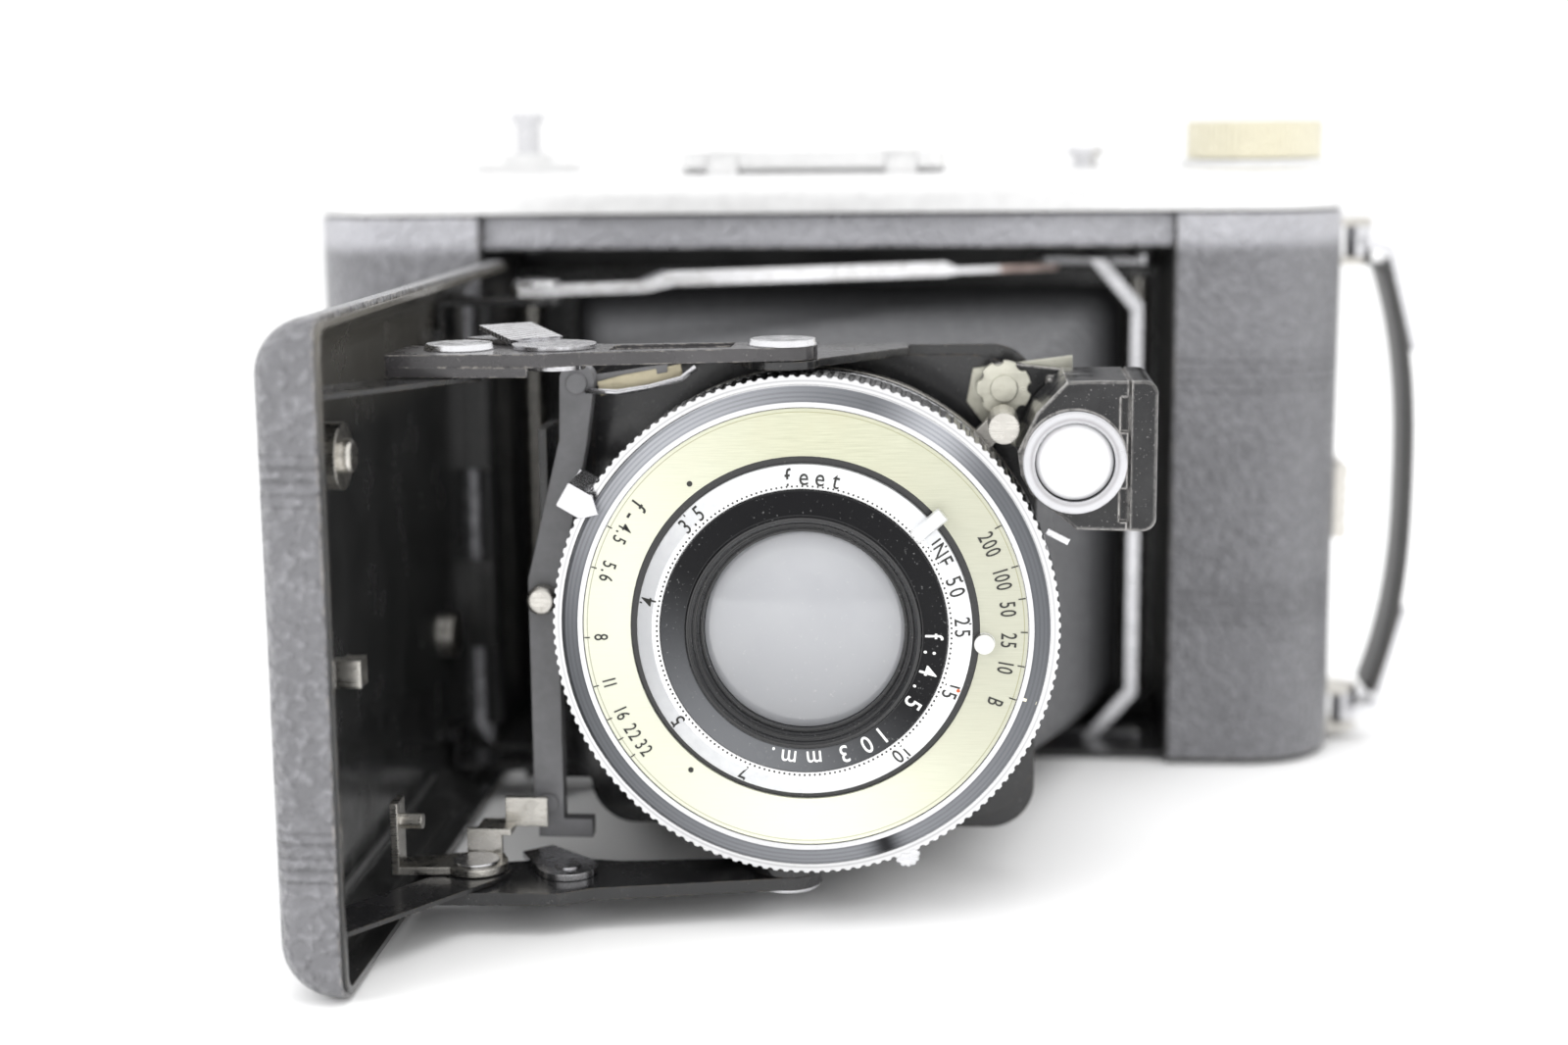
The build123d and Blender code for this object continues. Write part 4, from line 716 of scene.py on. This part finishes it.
def build_bellows():
    """A pleated tube from the film gate to the shutter, tapering and sagging a little."""
    low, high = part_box("bellows")
    rear_y, front_y = high.y - 0.2 * MM, low.y + 0.2 * MM
    rear = ((high.x - low.x) / 2 - 1.2 * MM, (high.z - low.z) / 2 - 1.2 * MM)
    rows = FOLDS * STEPS_PER_FOLD
    verts = []
    for i in range(rows + 1):
        t = i / rows
        phase = (t * FOLDS) % 1.0
        ridge = 1.0 - abs(2.0 * phase - 1.0)
        swell = (ridge ** 0.8 - 0.5) * FOLD_DEPTH
        half_w = rear[0] + (FRONT_HALF[0] - rear[0]) * t + swell
        half_h = rear[1] + (FRONT_HALF[1] - rear[1]) * t + swell
        sag = FOLD_SAG * math.sin(7.0 * t) * (1 - t)
        cut = (3.4 + 3.0 * (1 - ridge)) * MM
        y = rear_y + (front_y - rear_y) * t
        for x, z in rounded_ring(half_w, half_h, cut, FOLD_CORNER_STEPS):
            pull = 1.0 - 0.012 * math.cos(3 * math.atan2(z, x)) * (1 - abs(2 * t - 1))
            verts.append((LENS_X + x * pull, y, LENS_Z + z * pull + sag))
    faces = tube_faces(rows, 4 * (FOLD_CORNER_STEPS + 1))
    obj = mesh_object("bellows_folds", verts, faces, bellows_material(), "camera_body")
    solid = obj.modifiers.new("wall", "SOLIDIFY")
    solid.thickness = FOLD_SKIN
    solid.offset = -1.0
    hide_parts("bellows")
    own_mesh(obj)


build_bellows()

# ---------------------------------------------------------------- dial lettering (generic numbers)



def fill(name, colour, smooth=0.35, dull=0.55):
    """Ink or paint in engraved figures."""
    s = Shader(name)
    s.set("Base Color", colour)
    s.set("Roughness", s.fade(s.noise(3.0), 0.3, 0.7, smooth, dull))
    return s.finish()


INK = fill("engraved_ink", (0.02, 0.02, 0.018), 0.4, 0.6)
PAINT = fill("white_fill", (0.88, 0.88, 0.87))
RED = fill("red_fill", (0.62, 0.13, 0.04))
CREAM = fill("cream_fill", (0.86, 0.80, 0.62))


def lay_on(parts, name):
    """Drops flat art, drawn at Y = 0, onto the front of a CAD node."""
    node = NODES[name]
    verts = [node.matrix_world @ v.co for v in node.data.vertices]
    tree = BVHTree.FromPolygons(verts, [tuple(p.vertices) for p in node.data.polygons])
    laid = []
    for points, polygons in parts:
        moved = []
        for p in points:
            hit = tree.ray_cast(Vector((p.x, PANEL_Y - 0.2, p.z)), Vector((0, 1, 0)))[0]
            y = hit.y if hit else PANEL_Y
            moved.append(Vector((p.x, y + p.y - 0.2 * INK_THICK, p.z)))
        laid.append((moved, polygons))
    return laid


def dial_frame(radius, angle, spin):
    """Matrix that lays flat XY art on the dial at an angle, turned by spin degrees."""
    a = math.radians(angle)
    place = Matrix.Translation((LENS_X + radius * math.cos(a), 0.0, LENS_Z + radius * math.sin(a)))
    face = Matrix.Rotation(math.radians(90), 4, "X")
    return place @ face @ Matrix.Rotation(math.radians(spin), 4, "Z")


def join_meshes(name, parts, material, body):
    """One mesh object from a list of (vertices, faces)."""
    verts, faces = [], []
    for v, f in parts:
        start = len(verts)
        verts += v
        faces += [tuple(i + start for i in face) for face in f]
    return mesh_object(name, verts, faces, material, body, smooth=False)


def glyph(text, size, thick):
    """Vertices and faces of a piece of flat text centred on the origin."""
    curve = bpy.data.curves.new("glyph", "FONT")
    curve.body = text
    curve.size = size
    curve.align_x = "CENTER"
    curve.align_y = "CENTER"
    curve.extrude = thick / 2
    curve.resolution_u = 4
    curve.offset = 0.005 * size
    obj = show(bpy.data.objects.new("glyph", curve))
    bpy.context.view_layer.update()
    mesh = obj.to_mesh()
    verts = [v.co.copy() for v in mesh.vertices]
    faces = [tuple(p.vertices) for p in mesh.polygons]
    obj.to_mesh_clear()
    bpy.data.objects.remove(obj)
    bpy.data.curves.remove(curve)
    return verts, faces


def arc_text(text, radius, angle, size, outward, gap=1.0, squeeze=0.78):
    """Letters along an arc centred on an angle. Radius and size are in millimetres.

    outward: the letters' tops point away from the centre.
    """
    parts = []
    radius, size = radius * MM, size * MM
    widths = [0.34 if ch in "1I:." else 0.56 for ch in text]
    step = math.degrees(size * gap / radius) * (-1 if outward else 1)
    total = sum(widths)
    travel = 0.0
    for ch, width in zip(text, widths):
        a = angle + step * (travel + width / 2 - total / 2)
        travel += width
        m = dial_frame(radius, a, a - 90 if outward else a + 90)
        v, f = glyph(ch, size, INK_THICK)
        parts.append(([m @ Vector((p.x * squeeze, p.y, p.z)) for p in v], f))
    return parts


def prism(m, outline):
    """A thin plate of the given flat outline, laid by a matrix."""
    n = len(outline)
    v = [m @ Vector((a, b, s * INK_THICK / 2)) for s in (-1, 1) for a, b in outline]
    f = [tuple(range(n - 1, -1, -1)), tuple(range(n, 2 * n))]
    f += [(k, (k + 1) % n, n + (k + 1) % n, n + k) for k in range(n)]
    return v, f


def tick(radius0, radius1, angle, width):
    """A short line along the dial's radius. Radii and width are in millimetres."""
    m = dial_frame((radius0 + radius1) / 2 * MM, angle, angle)
    long, wide = (radius1 - radius0) / 2 * MM, width / 2 * MM
    return prism(m, [(-long, -wide), (long, -wide), (long, wide), (-long, wide)])


def disc(radius, angle, size, steps=20):
    """A dot on the dial. Its place and its own radius are in millimetres."""
    turns = [2 * math.pi * k / steps for k in range(steps)]
    ring = [(size * MM * math.cos(a), size * MM * math.sin(a)) for a in turns]
    return prism(dial_frame(radius * MM, angle, 0), ring)


STOPS = (
    ("4.5", 152.0),
    ("5.6", 163.6),
    ("8", 182.6),
    ("11", 195.9),
    ("16", 205.4),
    ("22", 211.5),
    ("32", 217.0),
)
SPEEDS = (
    ("200", 25.4, 28.6),
    ("100", 14.8, 17.3),
    ("50", 6.3, 8.6),
    ("25", -2.7, -0.3),
    ("10", -10.6, -9.4),
    ("B", -20.8, -18.4),
)
FOCUS = (
    ("3.5", 134.4),
    ("4", 169.2),
    ("5", 216.0),
    ("7", 247.0),
    ("10", -52.3),
    ("15", -22.3),
    ("25", 2.0),
    ("50", 17.2),
    ("INF", 30.5),
)

LENS_TEXT = "f:4.5103mm."
LENS_ANGLES = (-1.0, -8.5, -17.0, -25.5, -33.0, -53.0, -61.0, -71.8, -85.5, -97.0, -104.5)


def dial_art(name, art, node, material, body):
    """Lays dial art on a CAD node, as one mesh that rides on a body."""
    obj = join_meshes(name, lay_on(art, node), material, body)


plate_art = []
for label, angle in STOPS:
    plate_art += arc_text(label, STOP_RADIUS, angle, STOP_SIZE, False, 0.78, 0.72)
    plate_art.append(tick(*STOP_TICKS, angle, 0.14))
for label, angle, mark in SPEEDS:
    plate_art += arc_text(label, SPEED_RADIUS, angle, SPEED_SIZE, True, 0.68, 0.64)
    plate_art.append(tick(*SPEED_TICKS, mark, 0.14))
plate_art += arc_text("f-", 25.0, 144.6, 3.1, False)
plate_art.append(disc(22.4, 127.5, 0.34))
plate_art.append(disc(22.6, 231.5, 0.34))
dial_art("plate_numbers", plate_art, "face_plate", INK, "standard")

focus_art = []
for label, angle in FOCUS:
    focus_art += arc_text(label, FOCUS_RADIUS, angle, FOCUS_SIZE, True, 0.94)
    focus_art.append(tick(*FOCUS_TICKS, angle + 1.0, 0.16))
focus_art += arc_text("feet", 18.75, 86.5, 2.9, True, 1.2, 0.9)
for k in range(DOT_COUNT):
    focus_art.append(disc(DOT_RADIUS, 360 / DOT_COUNT * k, DOT_SIZE, steps=6))
dial_art("distance_numbers", focus_art, "focus_ring", INK, "front_cell")

ring_art = []
for ch, angle in zip(LENS_TEXT, LENS_ANGLES):
    ring_art += arc_text(ch, LENS_TEXT_RADIUS, angle, LENS_TEXT_SIZE, True, 1.0, 0.85)
dial_art("lens_numbers", ring_art, "lens_bezel", PAINT, "front_cell")

index_art = [tick(27.3, 29.3, -17.6, 0.36)]
dial_art("speed_index", index_art, "speed_ring", CREAM, "shutter_speed")
dial_art("red_mark", [disc(19.9, -21.2, 0.22)], "focus_ring", RED, "front_cell")

# ---------------------------------------------------------------- small fittings


def front_path(points):
    """Points given as (x, depth ahead of the panel, z) in millimetres."""
    return [Vector((LENS_X + x * MM, PANEL_Y - f * MM, z * MM)) for x, f, z in points]


def heading(path, i):
    """Unit direction of a path at one of its points."""
    return (path[min(i + 1, len(path) - 1)] - path[max(i - 1, 0)]).normalized()


def spring_part(name, verts, sides, material, smooth):
    """Skins rings of points as a closed piece that rides on the lens standard."""
    rows = len(verts) // sides - 1
    faces = tube_faces(rows, sides) + end_faces(rows, sides)
    mesh_object(name, verts, faces, material, "standard", smooth)


def strip(name, points, half, thick, material):
    """A flat bent strip through points; half its width and its thickness in millimetres."""
    verts = []
    path = front_path(points)
    for i, p in enumerate(path):
        ahead = heading(path, i)
        side = ahead.cross(Vector((0, 1, 0))).normalized() * half * MM
        lift = ahead.cross(side).normalized() * thick / 2 * MM
        verts += [p + side + lift, p + side - lift, p - side - lift, p - side + lift]
    spring_part(name, verts, 4, material, False)


def wire(name, points, radius, material, sides=8):
    """A round wire through points; its radius in millimetres."""
    verts = []
    path = front_path(points)
    for i, p in enumerate(path):
        ahead = heading(path, i)
        side = ahead.orthogonal().normalized()
        up = ahead.cross(side)
        for k in range(sides):
            a = 2 * math.pi * k / sides
            verts.append(p + (side * math.cos(a) + up * math.sin(a)) * radius * MM)
    spring_part(name, verts, sides, material, True)


LEAF_PATH = ((-26.6, 61.4, 65.2), (-23.5, 61.0, 66.0), (-20.0, 60.6, 66.6), (-16.2, 60.2, 67.3))
WIRE_PATH = (
    (-28.0, 63.6, 65.2),
    (-24.0, 63.4, 65.0),
    (-20.0, 63.0, 65.6),
    (-16.0, 62.6, 66.6),
    (-14.2, 62.4, 68.0),
)
TAB_PATH = ((29.2, 68.4, 48.6), (31.9, 68.4, 47.2))
OLD_BRASS = metal("old_brass", (0.52, 0.47, 0.34), 0.30, 0.5, (0.25, 0.20, 0.12))
strip("spring_leaf", LEAF_PATH, 0.9, 0.35, OLD_BRASS)
wire("spring_wire", WIRE_PATH, 0.35, MATS["steel"])
strip("speed_tab", TAB_PATH, 0.42, 0.5, MATS["steel"])

# ---------------------------------------------------------------- handle strap


def strap_material():
    """Black strap leather with edges worn brown."""
    s = Shader("strap_leather")
    grain = s.cells(1.6, "SMOOTH_F1")
    fine = s.noise(3.0, 4.0, 0.6)
    s.raise_by(grain, -0.06)
    s.raise_by(fine, 0.05)
    edge = s.edges(0.5)
    tone = s.mix(s.fade(fine, 0.4, 0.7), (0.045, 0.045, 0.046), (0.08, 0.079, 0.077))
    s.set("Base Color", s.mix(s.math("MULTIPLY", edge, 0.6), tone, (0.24, 0.22, 0.20)))
    s.set("Roughness", s.fade(fine, 0.3, 0.7, 0.38, 0.55))
    return s.finish()


def build_strap():
    """A padded strap bowed out between its clips, thicker and narrower in the middle."""
    low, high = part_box("handle_strap")
    mid_z, half = (low.z + high.z) / 2, (high.z - low.z) / 2
    verts = []
    for i in range(STRAP_STEPS + 1):
        t = 2 * i / STRAP_STEPS - 1
        x = high.x - (1.25 + STRAP_BOW * abs(t) ** 2.6) * MM
        wide = (STRAP_HALF_WIDTH - 0.9 * math.cos(math.pi * t / 2) ** 2) * MM
        thick = (STRAP_HALF_THICK + 0.25 * math.cos(math.pi * t / 2)) * MM
        z = mid_z + half * t
        for k in range(STRAP_SIDES):
            a = 2 * math.pi * k / STRAP_SIDES
            cx, cy = math.cos(a), math.sin(a)
            px = thick * math.copysign(abs(cx) ** 0.6, cx)
            py = wide * math.copysign(abs(cy) ** 0.5, cy)
            verts.append((x + px, py, z))
    faces = tube_faces(STRAP_STEPS, STRAP_SIDES) + end_faces(STRAP_STEPS, STRAP_SIDES)
    obj = mesh_object("strap_leather_body", verts, faces, strap_material(), "handle")
    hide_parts("handle_strap")


build_strap()

# ---------------------------------------------------------------- stage, camera, light

FLOOR_REACH, FLOOR_GAP = 3, 0.2 * MM


def floor_material():
    """Pale matt studio paper."""
    s = Shader("studio_white")
    s.set("Base Color", s.mix(s.noise(0.002, 1.0), (0.90, 0.90, 0.90), (0.92, 0.92, 0.92)))
    s.set("Roughness", 0.9)
    return s.finish()


corners = [(FLOOR_REACH * x, FLOOR_REACH * y, 0) for x, y in ((-1, -1), (1, -1), (1, 1), (-1, 1))]
floor = mesh_object("floor", corners, [(0, 1, 2, 3)], floor_material(), None)
floor.location.z = cad_low.z - FLOOR_GAP

CAMERA_PLACE = Vector((19.3, 343.9, 97.8)) * MM
CAMERA_YAW, CAMERA_PITCH, CAMERA_ROLL = -0.0804, 0.1731, 0.0099
CAMERA_LENS, SENSOR, F_STOP = 52.4, 36.0, 9.0

camera_data = bpy.data.cameras.new("camera")
camera_data.lens = CAMERA_LENS
camera_data.sensor_width = SENSOR
camera_data.clip_start = 0.01
camera_data.dof.use_dof = True
focus_point = show(bpy.data.objects.new("focus_point", None))
focus_point.location = (LENS_X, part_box("face_plate")[0].y, LENS_Z)
camera_data.dof.focus_object = focus_point
camera_data.dof.aperture_fstop = F_STOP
camera = show(bpy.data.objects.new("camera", camera_data))
ahead = Vector((
    math.sin(CAMERA_YAW) * math.cos(CAMERA_PITCH),
    math.cos(CAMERA_YAW) * math.cos(CAMERA_PITCH),
    -math.sin(CAMERA_PITCH),
))
right = Vector((math.cos(CAMERA_YAW), -math.sin(CAMERA_YAW), 0))
down = ahead.cross(right)
tilt_right = right * math.cos(CAMERA_ROLL) + down * math.sin(CAMERA_ROLL)
tilt_down = down * math.cos(CAMERA_ROLL) - right * math.sin(CAMERA_ROLL)
turn = Matrix((tilt_right, -tilt_down, -ahead)).transposed().to_4x4()
place = Vector((LENS_X + CAMERA_PLACE.x, PANEL_Y - CAMERA_PLACE.y, CAMERA_PLACE.z))
camera.matrix_world = Matrix.Translation(place) @ turn
bpy.context.scene.camera = camera

SKY_HEIGHTS, SKY_STRENGTHS = (-0.25, 0.55), (0.75, 1.15)
EXPOSURE = 0.25

world = bpy.data.worlds.new("studio")
world.use_nodes = True
sky = world.node_tree.nodes
sky["Background"].inputs[0].default_value = (1.0, 1.0, 1.0, 1.0)
sky_way = sky.new("ShaderNodeTexCoord")
sky_split = sky.new("ShaderNodeSeparateXYZ")
sky_fade = sky.new("ShaderNodeMapRange")
sky_path = sky.new("ShaderNodeLightPath")
sky_seen = sky.new("ShaderNodeMix")
for socket, value in zip(sky_fade.inputs[1:5], SKY_HEIGHTS + SKY_STRENGTHS):
    socket.default_value = value
sky_seen.inputs[3].default_value = 1.0
for out, into in (
    (sky_way.outputs["Generated"], sky_split.inputs[0]),
    (sky_split.outputs[2], sky_fade.inputs[0]),
    (sky_path.outputs["Is Camera Ray"], sky_seen.inputs[0]),
    (sky_fade.outputs[0], sky_seen.inputs[2]),
    (sky_seen.outputs[0], sky["Background"].inputs[1]),
):
    world.node_tree.links.new(out, into)
bpy.context.scene.world = world


def area_light(name, place, aim, size, watts):
    """A square light in metres and watts that doesn't show in reflections."""
    data = bpy.data.lights.new(name, "AREA")
    data.size = size
    data.energy = watts
    obj = show(bpy.data.objects.new(name, data))
    obj.location = place
    obj.rotation_euler = (Vector(aim) - Vector(place)).to_track_quat("-Z", "Y").to_euler()
    obj.visible_glossy = False


area_light("top_softbox", (0.1, -0.15, 0.85), (0, -0.05, 0.04), 0.7, 3.0)
area_light("left_softbox", (-0.8, -0.7, 0.5), (-0.02, -0.08, 0.04), 0.6, 4.0)
area_light("front_fill", (0.35, -1.1, 0.35), (0, -0.08, 0.04), 0.5, 0.8)

view = bpy.context.scene.view_settings
view.view_transform = "Standard"
view.look = "None"
view.exposure = EXPOSURE
